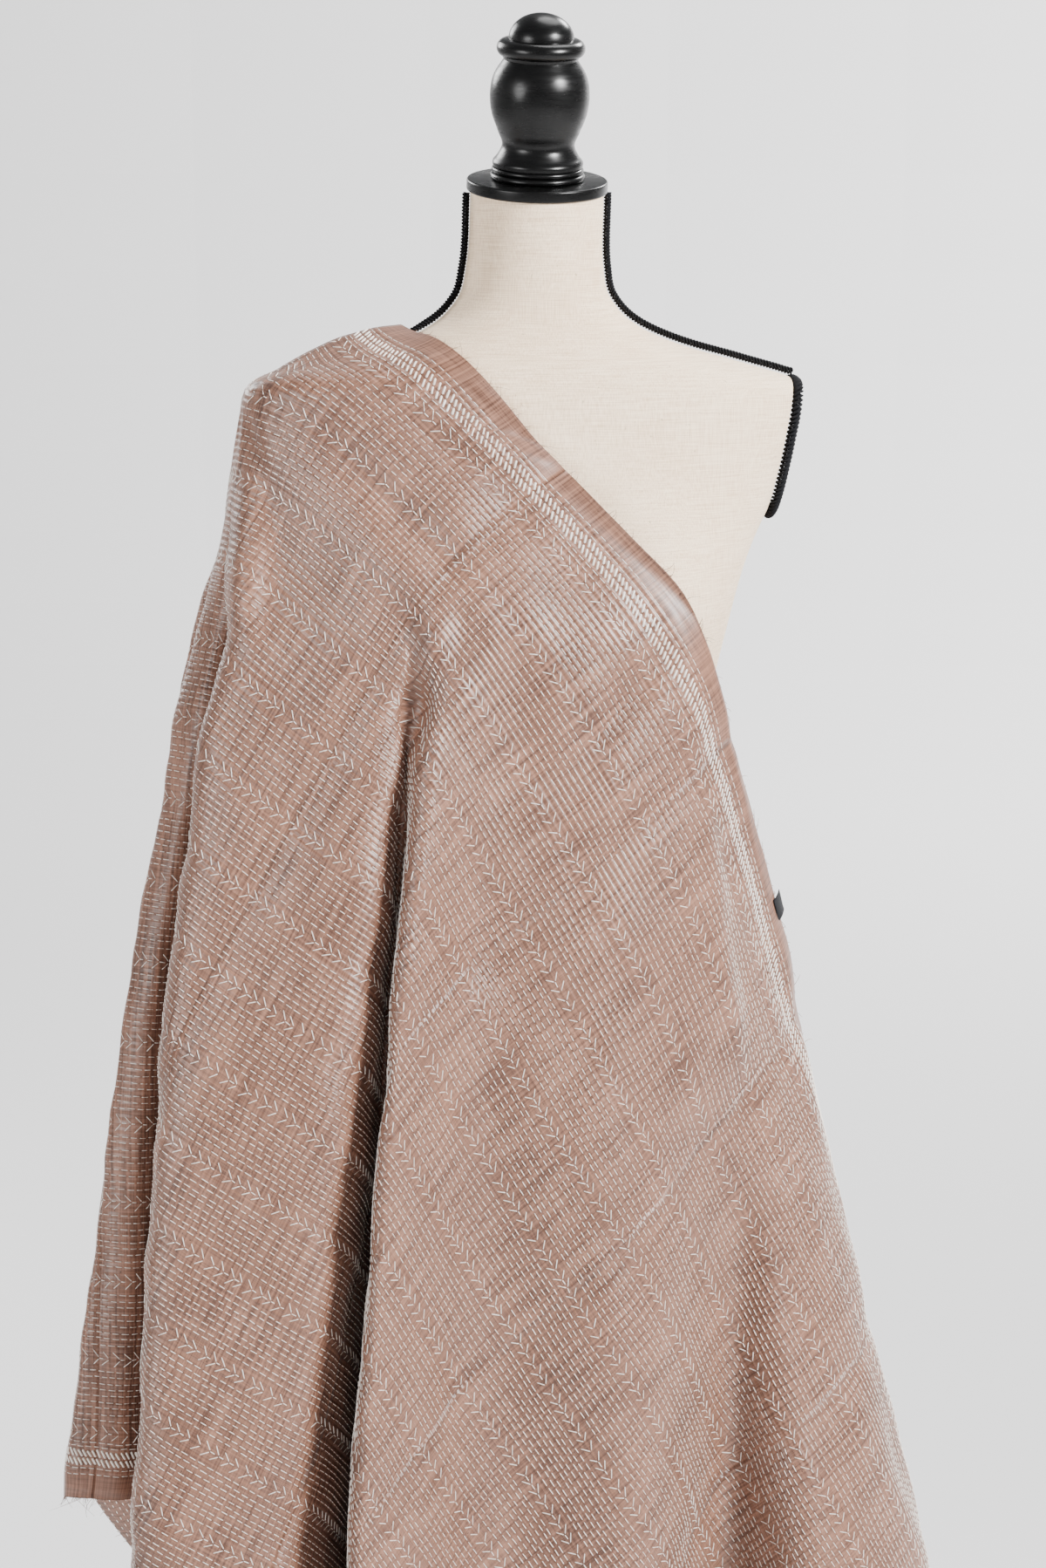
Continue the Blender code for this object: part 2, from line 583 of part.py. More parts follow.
def stand(look):
    """The pole and its weighted base, plain where the photograph does not reach."""
    foot = [(0, 0)] + arc(BASE_RADIUS - 0.004, 0.004, 0.004, 0.004, -90, 0, 3)
    foot += arc(BASE_RADIUS - 0.010, 0.012, 0.010, 0.010, 0, 70, 5)
    foot += [(0.060, 0.0255), (0.045, BASE_HEIGHT), (0, BASE_HEIGHT)]
    turned("stand_base", foot, look, segments=40)
    bottom, top = BASE_HEIGHT + CLEARANCE, TORSO_BOTTOM - CLEARANCE
    pole = [(0, bottom), (0.026, bottom)] + arc(0.022, bottom + 0.012, 0.006, 0.008, -30, 90, 6)
    pole += [(POLE_RADIUS, bottom + 0.030), (POLE_RADIUS, top - 0.014), (0.024, top - 0.010)]
    pole += [(0.024, top), (0, top)]
    turned("stand_pole", pole, look, segments=24)


def rope(name, path, radius, look, loop=False):
    """A plain tube where the braided trim runs."""
    path = list(path)
    curve = bpy.data.curves.new(name, "CURVE")
    curve.dimensions = "3D"
    curve.bevel_depth = radius
    curve.bevel_resolution = 2
    curve.use_fill_caps = not loop
    spline = curve.splines.new("POLY")
    spline.points.add(len(path) - 1)
    for point, place in zip(spline.points, path):
        point.co = (*place, 1)
    spline.use_cyclic_u = loop
    curve.materials.append(look)
    made = bpy.data.objects.new(name, curve)
    bpy.context.scene.collection.objects.link(made)
    return made


linen = material("linen", (0.78, 0.69, 0.56), 0.9)
black_wood = material("black_wood", (0.012, 0.011, 0.011), 0.32)
black_cord = material("black_cord", (0.02, 0.02, 0.022), 0.85)
tussar = material("tussar", (0.36, 0.26, 0.22), 0.62)
black_tape = material("black_tape", (0.03, 0.03, 0.034), 0.7)

torso(linen)
finial(black_wood)
stand(black_wood)
for side, word in ((-1, "right"), (1, "left")):
    out = CLEARANCE + SHOULDER_ROPE * 1.1
    rope(f"shoulder_trim_{word}", shoulder_run(side, out), SHOULDER_ROPE, black_cord)
    out = CLEARANCE + ARMHOLE_ROPE
    rope(f"armhole_trim_{word}", armhole_rim(side, out), ARMHOLE_ROPE, black_cord, loop=True)
cloth(tussar)
label(black_tape)
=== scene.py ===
# A kantha-stitched dupatta over one shoulder of a limbless dress form.
# Metres, +Z up. The form faces -Y, and +X is the side of its left shoulder.
import json
import math
from collections import namedtuple

import bpy
import numpy as np
from mathutils import Matrix, Vector, noise
from mathutils.bvhtree import BVHTree

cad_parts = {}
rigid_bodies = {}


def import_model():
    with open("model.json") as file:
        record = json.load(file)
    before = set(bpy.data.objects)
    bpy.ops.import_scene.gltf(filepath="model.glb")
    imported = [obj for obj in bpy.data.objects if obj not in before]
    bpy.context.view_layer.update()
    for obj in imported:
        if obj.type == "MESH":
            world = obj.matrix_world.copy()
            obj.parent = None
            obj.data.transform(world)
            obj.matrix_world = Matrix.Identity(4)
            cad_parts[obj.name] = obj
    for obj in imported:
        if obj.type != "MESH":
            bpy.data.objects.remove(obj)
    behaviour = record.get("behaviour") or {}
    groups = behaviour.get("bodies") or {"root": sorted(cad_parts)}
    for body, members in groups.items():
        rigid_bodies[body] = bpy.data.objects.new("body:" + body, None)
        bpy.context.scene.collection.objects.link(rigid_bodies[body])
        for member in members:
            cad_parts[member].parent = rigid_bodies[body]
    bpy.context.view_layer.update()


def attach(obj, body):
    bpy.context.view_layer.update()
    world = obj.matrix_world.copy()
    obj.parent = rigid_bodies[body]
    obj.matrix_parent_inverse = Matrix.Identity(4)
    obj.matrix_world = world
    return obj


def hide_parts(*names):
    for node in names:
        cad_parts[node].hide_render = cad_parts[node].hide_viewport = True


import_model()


# The form has the same sizes as its solid and is drawn finer.
form = {
    "bottom": 0.820,
    "waist": 1.120,
    "shoulder": 1.450,
    "shoulderEnd": 1.4265,
    "neckBase": 1.487,
    "neckTop": 1.566,
    "neckLean": math.radians(10),
    "neckForward": 0.016,
    "armX": 0.190,  # a point on the flat armhole end, and how far that end faces down
    "armZ": 1.430,
    "armTilt": math.radians(9),
    "armMiddle": 1.386,
    "roundness": 2.4,
    "bustFade": 4,
    "around": 132,
    "upward": 120,
}
Section = namedtuple("Section", "z halfWidth front back middle")
torsoSections = [
    Section(0.820, 0.160, 0.088, 0.104, 0.000),
    Section(0.880, 0.173, 0.091, 0.111, 0.000),
    Section(0.940, 0.176, 0.091, 0.112, 0.000),
    Section(1.000, 0.164, 0.088, 0.104, 0.000),
    Section(1.060, 0.142, 0.082, 0.090, 0.000),
    Section(1.120, 0.125, 0.078, 0.081, 0.000),
    Section(1.180, 0.130, 0.082, 0.081, 0.002),
    Section(1.240, 0.143, 0.087, 0.088, 0.004),
    Section(1.300, 0.162, 0.088, 0.095, 0.006),
    Section(1.350, 0.186, 0.084, 0.095, 0.007),
    Section(1.388, 0.202, 0.076, 0.089, 0.003),
    Section(1.412, 0.206, 0.069, 0.080, -0.002),
    Section(1.427, 0.196, 0.0645, 0.0735, -0.004),
    Section(1.440, 0.155, 0.061, 0.068, -0.003),
    Section(1.453, 0.110, 0.0575, 0.062, 0.000),
    Section(1.467, 0.078, 0.054, 0.057, 0.001),
    Section(1.487, 0.057, 0.051, 0.051, -0.001),
    Section(1.510, 0.0505, 0.0495, 0.0495, -0.005),
    Section(1.566, 0.0485, 0.0485, 0.0485, -0.016),
]
bust = {"apart": 0.078, "z": 1.262, "reach": 0.035, "wide": 0.056, "tall": 0.062}


def curveThrough(knots, values, at):
    # A smooth curve through the values.
    step = np.diff(knots)[:, None]
    slope = np.diff(values, axis=0) / step
    tangent = np.vstack([slope[:1], (slope[:-1] + slope[1:]) / 2, slope[-1:]])
    i = np.clip(np.searchsorted(knots, at, side="right") - 1, 0, len(knots) - 2)
    w = ((at - knots[i]) / step[i, 0])[..., None]
    return (
        (1 + 2 * w) * (1 - w) ** 2 * values[i]
        + w * (1 - w) ** 2 * step[i] * tangent[i]
        + w**2 * (3 - 2 * w) * values[i + 1]
        + w**2 * (w - 1) * step[i] * tangent[i + 1]
    )


def formAt(z, column):
    rows = np.array(torsoSections)
    size = rows[:, [Section._fields.index(column)]]
    return curveThrough(rows[:, 0], size, np.clip(z, form["bottom"], form["neckTop"]))[..., 0]


def bustDepth(x, z, bridged):
    across = np.abs(x) - bust["apart"]
    if bridged:  # cloth spans the space between the two sides
        across = np.maximum(across, 0)
    low = ((z - bust["z"]) / bust["tall"]) ** 2
    return bust["reach"] * np.exp(-((across / bust["wide"]) ** 2) - low)


def armX(z):
    return form["armX"] + (z - form["armZ"]) * math.tan(form["armTilt"])


def sectionRing(z, count):
    size = Section(z, *(formAt(z, column) for column in Section._fields[1:]))
    squareness = np.interp(z, (form["shoulder"], form["neckBase"]), (2 / form["roundness"], 1))
    tilt = math.tan(form["neckLean"]) * np.interp(z, (form["neckBase"], form["neckTop"]), (0, 1))
    for k in range(count):
        angle = math.tau * (k + 0.5) / count
        wide = math.copysign(abs(math.cos(angle)) ** squareness, math.cos(angle))
        x = size.halfWidth * wide
        depth = abs(math.sin(angle))
        if math.sin(angle) < 0:
            fade = min(1, form["bustFade"] * depth)
            y = -size.front * depth - bustDepth(x, z, False) * fade
        else:
            y = size.back * depth
        yield x, y + size.middle, z + y * tilt


def deselectAll():
    for other in bpy.context.view_layer.objects.selected:
        other.select_set(False)


def makeMesh(name, points, faces, smooth=True):
    mesh = bpy.data.meshes.new(name)
    mesh.from_pydata([tuple(p) for p in points], [], faces)
    if smooth:
        mesh.shade_smooth()
    made = bpy.data.objects.new(name, mesh)
    bpy.context.scene.collection.objects.link(made)
    return made


def fromTriangles(name, points, triangles):
    # A mesh of very many triangles, filled from arrays.
    mesh = bpy.data.meshes.new(name)
    mesh.vertices.add(len(points))
    mesh.vertices.foreach_set("co", np.asarray(points, dtype=np.float32).ravel())
    mesh.loops.add(3 * len(triangles))
    mesh.loops.foreach_set("vertex_index", np.asarray(triangles, dtype=np.int32).ravel())
    mesh.polygons.add(len(triangles))
    mesh.polygons.foreach_set("loop_start", np.arange(0, 3 * len(triangles), 3, dtype=np.int32))
    mesh.update(calc_edges=True)
    mesh.shade_smooth()
    made = bpy.data.objects.new(name, mesh)
    bpy.context.scene.collection.objects.link(made)
    return made


def workOn(piece):
    deselectAll()
    piece.select_set(True)
    bpy.context.view_layer.objects.active = piece


def applyModifier(piece, kind, **settings):
    workOn(piece)
    modifier = piece.modifiers.new(kind.title(), kind)
    for key, value in settings.items():
        setattr(modifier, key, value)
    bpy.ops.object.modifier_apply(modifier=modifier.name)


def closeUp(piece, apart=1e-6, inside=False):
    # Merges doubled points and turns the faces outwards, or inwards for a room.
    workOn(piece)
    bpy.ops.object.mode_set(mode="EDIT")
    bpy.ops.mesh.select_all(action="SELECT")
    bpy.ops.mesh.remove_doubles(threshold=apart)
    bpy.ops.mesh.normals_make_consistent(inside=inside)
    bpy.ops.object.mode_set(mode="OBJECT")


def spunProfile(name, outline, steps, **closing):
    profile = makeMesh(name, [(r, 0, h) for r, h in outline], [])
    profile.data.edges.add(len(outline) - 1)
    for k, edge in enumerate(profile.data.edges):
        edge.vertices = (k, k + 1)
    workOn(profile)
    bpy.ops.object.mode_set(mode="EDIT")
    bpy.ops.mesh.select_all(action="SELECT")
    bpy.ops.mesh.spin(steps=steps, angle=math.tau, center=(0, 0, 0), axis=(0, 0, 1))
    bpy.ops.object.mode_set(mode="OBJECT")
    closeUp(profile, **closing)
    return profile


def setMaterial(piece, *looks):
    piece.data.materials.clear()
    for look in looks:
        piece.data.materials.append(look)


def newMaterial(name, color, roughness, **sockets):
    look = bpy.data.materials.new(name)
    look.use_nodes = True
    shader = look.node_tree.nodes["Principled BSDF"]
    shader.inputs["Base Color"].default_value = (*color, 1)
    shader.inputs["Roughness"].default_value = roughness
    for socket, value in sockets.items():
        shader.inputs[socket.replace("_", " ")].default_value = value
    look.diffuse_color = (*color, 1)
    return look, shader


def addNode(look, kind, inputs=(), **settings):
    node = look.node_tree.nodes.new("ShaderNode" + kind)
    for key, value in settings.items():
        setattr(node, key, value)
    for key, value in dict(inputs).items():
        if isinstance(value, bpy.types.NodeSocket):
            look.node_tree.links.new(value, node.inputs[key])
        else:
            node.inputs[key].default_value = value
    return node


def streaks(look, place, scale, detail=2.0):
    # Noise drawn out along the axes whose scale is small.
    mapped = addNode(look, "Mapping", {"Vector": place, "Scale": scale})
    inputs = {"Vector": mapped.outputs[0], "Scale": 1.0, "Detail": detail}
    return addNode(look, "TexNoise", inputs).outputs["Fac"]


def ramp(look, value, stops):
    made = addNode(look, "ValToRGB", {"Fac": value})
    elements = made.color_ramp.elements
    while len(elements) < len(stops):
        elements.new(0.5)
    for element, (at, color) in zip(elements, stops):
        element.position = at
        element.color = (*color, 1)
    return made.outputs["Color"]


def calc(look, operation, a, b=0.0, c=0.0):
    return addNode(look, "Math", {0: a, 1: b, 2: c}, operation=operation).outputs[0]


def blend(look, factor, a, b, mode="MIX"):
    made = addNode(look, "Mix", data_type="RGBA", blend_type=mode)
    for socket, value in zip((made.inputs[0], made.inputs[6], made.inputs[7]), (factor, a, b)):
        if isinstance(value, bpy.types.NodeSocket):
            look.node_tree.links.new(value, socket)
        else:
            socket.default_value = value if socket == made.inputs[0] else (*value, 1)
    return made.outputs[2]


def addBump(look, shader, layers):
    # Bumps, each a height, its strength and its distance, laid over each other.
    below = None
    for height, strength, distance in layers:
        inputs = {"Height": height, "Strength": strength, "Distance": distance}
        if below is not None:
            inputs["Normal"] = below
        below = addNode(look, "Bump", inputs).outputs[0]
    look.node_tree.links.new(below, shader.inputs["Normal"])


# Pressed creases across the cloth, where it was folded for storage, and soft unevenness.
wear = {
    "creaseStart": 0.190,
    "creaseGap": 0.240,
    "creaseHeight": 0.0036,
    "creaseWidth": 0.014,
    "creaseSharp": 0.012,  # half of the pressed line, as a share of the gap
    "ripple": 0.0030,
    "rippleSize": 0.055,
    "rippleAlong": 0.6,
    "fineRipple": (0.5, 2.3),  # its share and how much finer it is
    "calm": 0.15,  # the cloth lies smooth this near the shoulder's tip
}
silk = {
    "dark": (0.086, 0.037, 0.023),
    "light": (0.290, 0.144, 0.094),
    "fleck": (0.030, 0.014, 0.010),
    "thread": (0.86, 0.80, 0.73),
    "roughness": 0.40,
    "sheen": 0.06,
    "rowGap": 0.0049,
    "middle": 0.472,  # of the stitched stretch across the cloth, and half its width
    "stitchedHalf": 0.454,
    "weft": (14.0, 520.0, 1.0),  # slubs run across the cloth
    "warp": (900.0, 22.0, 1.0),
    "cloud": (9.0, 26.0, 1.0),
    "speck": (300.0, 420.0, 1.0),
    "pucker": (60.0, 210.0, 1.0),
    "backRow": 0.075,  # half a row of the back's dashes, as a share of the gap between rows
    "backPitch": 0.0067,
    "backDash": 0.34,
    "backShift": 91.7,
}


def silkMaterial(name, reverse):
    look, shader = newMaterial(
        name, silk["light"], silk["roughness"], Sheen_Weight=silk["sheen"], Sheen_Roughness=0.45
    )
    place = addNode(look, "Attribute", attribute_name="clothPlace").outputs["Vector"]
    parts = addNode(look, "SeparateXYZ", {"Vector": place}).outputs
    weft = streaks(look, place, silk["weft"], detail=4.0)
    warp = streaks(look, place, silk["warp"], detail=3.0)
    cloudy = streaks(look, place, silk["cloud"], detail=4.0)
    tone = calc(look, "MULTIPLY_ADD", weft, 0.55, calc(look, "MULTIPLY", warp, 0.30))
    tone = calc(look, "MULTIPLY_ADD", cloudy, 0.15, tone)
    color = ramp(look, tone, [(0.40, silk["dark"]), (0.60, silk["light"])])
    specks = streaks(look, place, silk["speck"], detail=1.0)
    flecked = ramp(look, specks, [(0.705, (0, 0, 0)), (0.76, (1, 1, 1))])
    color = blend(look, calc(look, "MULTIPLY", flecked, 0.75), color, silk["fleck"])
    if reverse:  # the running stitch shows through as small dashes
        row = calc(look, "FRACT", calc(look, "DIVIDE", parts["X"], silk["rowGap"]))
        inRow = calc(look, "COMPARE", row, 0.5, silk["backRow"])
        shift = calc(look, "MULTIPLY", parts["X"], silk["backShift"])
        along = calc(look, "MULTIPLY_ADD", parts["Y"], 1 / silk["backPitch"], shift)
        dash = calc(look, "LESS_THAN", calc(look, "FRACT", along), silk["backDash"])
        color = blend(look, calc(look, "MULTIPLY", inRow, dash), color, silk["thread"])
    look.node_tree.links.new(color, shader.inputs["Base Color"])
    pucker = calc(look, "SINE", calc(look, "MULTIPLY", parts["X"], math.tau / silk["rowGap"]))
    uneven = streaks(look, place, silk["pucker"], detail=2.0)
    stitched = calc(look, "COMPARE", parts["X"], silk["middle"], silk["stitchedHalf"])
    pucker = calc(look, "MULTIPLY", calc(look, "MULTIPLY", pucker, uneven), stitched)
    gap = wear["creaseGap"]
    turns = calc(look, "MULTIPLY_ADD", parts["Y"], 1 / gap, 0.5 - wear["creaseStart"] / gap)
    away = calc(look, "ABSOLUTE", calc(look, "SUBTRACT", calc(look, "FRACT", turns), 0.5))
    span = {"From Min": 0.0, "From Max": wear["creaseSharp"], "To Min": 1.0, "To Max": 0.0}
    pressed = addNode(look, "MapRange", {"Value": away, **span}).outputs[0]
    layers = [(pressed, 0.9, 0.0016), (pucker, 0.45, 0.0009)]
    addBump(look, shader, layers + [(weft, 0.45, 0.0003), (warp, 0.3, 0.00025)])
    return look


def threadMaterial():
    look, shader = newMaterial("thread", silk["thread"], 0.55, Sheen_Weight=0.2)
    place = addNode(look, "TexCoord").outputs["Object"]
    shade = streaks(look, place, (160.0, 160.0, 160.0), detail=2.0)
    color = ramp(look, shade, [(0.30, (0.74, 0.66, 0.58)), (0.70, (0.90, 0.85, 0.79))])
    look.node_tree.links.new(color, shader.inputs["Base Color"])
    ply = addNode(look, "TexNoise", {"Vector": place, "Scale": 2600.0, "Detail": 1.0}).outputs["Fac"]
    addBump(look, shader, [(ply, 0.4, 0.0002)])
    return look


linen = {
    "color": (0.74, 0.64, 0.52),
    "dark": (0.70, 0.500, 0.320),
    "light": (0.97, 0.780, 0.570),
    "fleck": (0.36, 0.24, 0.14),
    "warp": (1500.0, 1500.0, 45.0),
    "weft": (40.0, 40.0, 1700.0),
    "cloud": (9.0, 9.0, 9.0),
    "speck": (420.0, 420.0, 260.0),
}


def linenMaterial():
    look, shader = newMaterial("linen", linen["color"], 0.88, Sheen_Weight=0.15)
    place = addNode(look, "TexCoord").outputs["Object"]
    warp = streaks(look, place, linen["warp"], detail=2.0)
    weft = streaks(look, place, linen["weft"], detail=2.0)
    cloudy = streaks(look, place, linen["cloud"], detail=3.0)
    tone = calc(look, "MULTIPLY_ADD", warp, 0.5, calc(look, "MULTIPLY", weft, 0.5))
    tone = calc(look, "MULTIPLY_ADD", cloudy, 0.2, calc(look, "SUBTRACT", tone, 0.1))
    color = ramp(look, tone, [(0.36, linen["dark"]), (0.62, linen["light"])])
    specks = streaks(look, place, linen["speck"], detail=1.0)
    flecked = ramp(look, specks, [(0.73, (0, 0, 0)), (0.79, (1, 1, 1))])
    color = blend(look, calc(look, "MULTIPLY", flecked, 0.55), color, linen["fleck"])
    look.node_tree.links.new(color, shader.inputs["Base Color"])
    addBump(look, shader, [(warp, 0.4, 0.0003), (weft, 0.35, 0.0003)])
    return look


def lacquerMaterial():
    look, shader = newMaterial("lacquer", (0.002, 0.002, 0.002), 0.30, Specular_IOR_Level=0.28)
    place = addNode(look, "TexCoord").outputs["Object"]
    grain = streaks(look, place, (60.0, 60.0, 420.0), detail=3.0)
    span = {"From Min": 0.3, "From Max": 0.7, "To Min": 0.24, "To Max": 0.34}
    rough = addNode(look, "MapRange", {"Value": grain, **span}).outputs[0]
    look.node_tree.links.new(rough, shader.inputs["Roughness"])
    addBump(look, shader, [(grain, 0.08, 0.0003)])
    return look


blackFibres = {
    "cord": {
        "color": (0.004, 0.004, 0.005), "roughness": 0.8, "shine": 0.15, "scale": 1800.0, "detail": 2.0,
        "tones": [(0.3, (0.001, 0.001, 0.0015)), (0.75, (0.012, 0.012, 0.014))], "bump": (0.6, 0.0004),
    },
    "tape": {
        "color": (0.006, 0.006, 0.007), "roughness": 0.6, "shine": 0.2, "scale": 1500.0, "detail": 1.0,
        "tones": [(0.3, (0.002, 0.002, 0.003)), (0.7, (0.012, 0.012, 0.014))], "bump": (0.4, 0.0002),
    },
}


def fibreMaterial(name):
    made = blackFibres[name]
    look, shader = newMaterial(
        name, made["color"], made["roughness"], Specular_IOR_Level=made["shine"]
    )
    place = addNode(look, "TexCoord").outputs["Object"]
    inputs = {"Vector": place, "Scale": made["scale"], "Detail": made["detail"]}
    fibre = addNode(look, "TexNoise", inputs).outputs["Fac"]
    color = ramp(look, fibre, made["tones"])
    look.node_tree.links.new(color, shader.inputs["Base Color"])
    addBump(look, shader, [(fibre, *made["bump"])])
    return look


looks = {
    "silk": silkMaterial("silk", False),
    "silkReverse": silkMaterial("silkReverse", True),
    "thread": threadMaterial(),
    "linen": linenMaterial(),
    "lacquer": lacquerMaterial(),
    "cord": fibreMaterial("cord"),
    "tape": fibreMaterial("tape"),
}
print("materials made")


def makeTorso():
    rings = form["upward"]
    last = len(torsoSections) - 1
    z = [section.z for section in torsoSections]
    heights = np.interp(np.arange(rings + 1) * last / rings, np.arange(last + 1), z)
    count = form["around"]
    points = [p for height in heights for p in sectionRing(height, count)]
    faces = []
    for i in range(rings):
        for k in range(count):
            a, b = i * count + k, i * count + (k + 1) % count
            faces.append((a, b, b + count, a + count))
    faces.append(tuple(reversed(range(count))))
    faces.append(tuple(range(rings * count, (rings + 1) * count)))
    torso = makeMesh("torso", points, faces)
    workOn(torso)
    for side in (-1, 1):  # cut flat at the armholes, above the waist only
        for face in torso.data.polygons:
            face.select = min(torso.data.vertices[v].co.z for v in face.vertices) > form["waist"]
        bpy.ops.object.mode_set(mode="EDIT")
        bpy.ops.mesh.select_mode(type="FACE")
        bpy.ops.mesh.bisect(
            plane_co=(side * form["armX"], 0, form["armZ"]),
            plane_no=(side * math.cos(form["armTilt"]), 0, -math.sin(form["armTilt"])),
            use_fill=True,
            clear_outer=True,
        )
        bpy.ops.object.mode_set(mode="OBJECT")
    closeUp(torso)
    bpy.ops.object.shade_smooth_by_angle(angle=math.radians(40))
    setMaterial(torso, looks["linen"])
    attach(torso, "root")
    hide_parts("form_torso")


makeTorso()
print("torso made")


# Turned wood: neck plate, finial, pole and base.
wood = {
    "segments": 96,
    "sharpFrom": math.radians(32),  # edges that turn more stay crisp
    "plate": 0.0085,
    "clearance": 0.0003,
    "baseRadius": 0.170,
    "baseHeight": 0.030,
    "poleRadius": 0.016,
    "egg": (  # heights and radii of the finial's foot, waist and egg
        (0.0096, 0.0328), (0.0130, 0.0330), (0.0170, 0.0300), (0.0250, 0.0265), (0.0350, 0.0300),
        (0.0480, 0.0347), (0.0620, 0.0362), (0.0760, 0.0336), (0.0870, 0.0270),
    ),
}


def arc(radius, height, reach, rise, start, end, count):
    # Points of an ellipse about (radius, height), its angles in degrees.
    angles = [math.radians(start + (end - start) * k / count) for k in range(count + 1)]
    return [(radius + reach * math.cos(a), height + rise * math.sin(a)) for a in angles]


def turnedPiece(name, outline, node, place=Matrix.Identity(4)):
    turned = spunProfile(name, outline, wood["segments"])
    turned.data.transform(place)
    workOn(turned)
    bpy.ops.object.shade_smooth_by_angle(angle=wood["sharpFrom"])
    setMaterial(turned, looks["lacquer"])
    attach(turned, "root")
    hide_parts(node)


def makeWood():
    lean = Matrix.Rotation(form["neckLean"], 4, "X")
    top = Matrix.Translation((0, -form["neckForward"], form["neckTop"])) @ lean
    lift = Matrix.Translation((0, 0, wood["clearance"]))
    plate = wood["plate"]
    outline = [(0, 0)] + arc(0.0500, 0.0015, 0.0015, 0.0015, -90, 0, 6)
    outline += arc(0.0500, plate - 0.0015, 0.0015, 0.0015, 0, 90, 6) + [(0, plate)]
    turnedPiece("neckPlate", outline, "neck_plate", top @ lift)
    knob = [(0, 0)]
    knob += arc(0.0321, 0.0024, 0.0024, 0.0024, -90, 90, 10)
    knob += arc(0.0318, 0.0070, 0.0018, 0.0020, -90, 90, 10)
    egg = np.array(wood["egg"])
    heights = np.linspace(egg[0, 0], egg[-1, 0], 70)
    knob += list(zip(curveThrough(egg[:, 0], egg[:, 1:], heights)[:, 0], heights))
    knob += arc(0.0258, 0.0952, 0.0064, 0.0064, -70, 90, 16)
    knob += arc(0.0, 0.1020, 0.0238, 0.0185, 0, 90, 20)[:-1]
    knob += [(0, 0.1205)]
    stand = top @ lift @ Matrix.Translation((0, 0, plate + wood["clearance"]))
    turnedPiece("turnedFinial", knob, "finial", stand)
    radius, height = wood["baseRadius"], wood["baseHeight"]
    foot = [(0, 0)] + arc(radius - 0.004, 0.004, 0.004, 0.004, -90, 0, 6)
    foot += arc(radius - 0.010, 0.012, 0.010, 0.010, 0, 70, 10)
    foot += [(0.060, 0.0255), (0.045, height), (0, height)]
    turnedPiece("roundBase", foot, "stand_base")
    bottom, head = height + wood["clearance"], form["bottom"] - wood["clearance"]
    pole = [(0, bottom), (0.026, bottom)] + arc(0.022, bottom + 0.012, 0.006, 0.008, -30, 90, 12)
    pole += [(wood["poleRadius"], bottom + 0.030), (wood["poleRadius"], head - 0.014)]
    pole += [(0.024, head - 0.010), (0.024, head), (0, head)]
    turnedPiece("standPole", pole, "stand_pole")


makeWood()
print("turned wood made")


# Braided trim along the shoulders and round the armholes.
trim = {
    "hidden": {"shoulder": 0.0024, "armhole": 0.0030},  # radii where the cloth lies on the cord
    "shown": {"shoulder": 0.0031, "armhole": 0.0043},
    "hiddenFrom": (0.080, 0.095),
    "inset": 0.0030,
    "drop": 0.0012,
    "strands": 3,
    "apart": 0.56,  # from the cord's middle to a strand's, and a strand's radius, in radii
    "strand": 0.45,
    "turn": 2.3,  # length of a strand's turn, in radii
    "perTurn": 8,
    "sides": 5,
}


def roundingAt(x, z):
    share = np.abs(x) / formAt(z, "halfWidth")
    return np.sqrt(np.clip(1 - share ** form["roundness"], 0, 1))


def armholeRim(side, out, count=96):
    centre = np.array((formAt(form["armMiddle"], "middle"), form["armMiddle"]))
    path = []
    for k in range(count):
        angle = math.tau * k / count
        toward = np.array((math.cos(angle), math.sin(angle)))
        near, far = 0.0, form["armMiddle"] - form["bottom"]
        for _ in range(24):
            reach = (near + far) / 2
            y, z = centre + toward * reach
            sideDepth = formAt(z, "front" if y < formAt(z, "middle") else "back")
            depth = sideDepth * roundingAt(armX(z), z)
            if depth > 0 and abs(y - formAt(z, "middle")) < depth:
                near = reach
            else:
                far = reach
        y, z = centre + toward * (near - trim["inset"])
        path.append((side * (armX(z) + out / math.cos(form["armTilt"])), y, z))
    return np.array(path)


def shoulderRadius(x):
    # Full where it shows, and slimmer where the cloth lies over it.
    covered = np.interp(-x, trim["hiddenFrom"], (0, 1))
    return trim["shown"]["shoulder"] * (1 - covered) + trim["hidden"]["shoulder"] * covered


def shoulderRun(side, clear, count=72):
    top = form["neckTop"] - trim["drop"]
    neck = np.linspace(top, form["shoulder"], count // 2)
    heights = [*neck, *np.linspace(form["shoulder"], form["shoulderEnd"], count // 2)[1:]]
    line = np.array([(formAt(z, "halfWidth"), z) for z in heights])
    path = []
    for spot, z, slope in zip(line, heights, np.gradient(line, axis=0)):
        facing = np.array((-slope[1], slope[0])) / np.linalg.norm(slope)
        x, zOut = spot + facing * (clear + 1.1 * shoulderRadius(side * spot[0]))
        if x < form["armX"] - wood["clearance"]:
            path.append((side * x, formAt(z, "middle"), zOut))
    x, y, z = path[-1]
    path.append((x + side * 0.005, y, z - 0.0012))  # on to the armhole's trim
    return np.array(path)


def resampled(path, step, closed):
    if closed:
        path = np.vstack([path, path[:1]])
    lengths = np.concatenate([[0], np.cumsum(np.linalg.norm(np.diff(path, axis=0), axis=1))])
    count = max(4, round(lengths[-1] / step))
    at = np.linspace(0, lengths[-1], count + 1)
    fine = np.stack([np.interp(at, lengths, path[:, k]) for k in range(3)], axis=1)
    return fine[:-1] if closed else fine


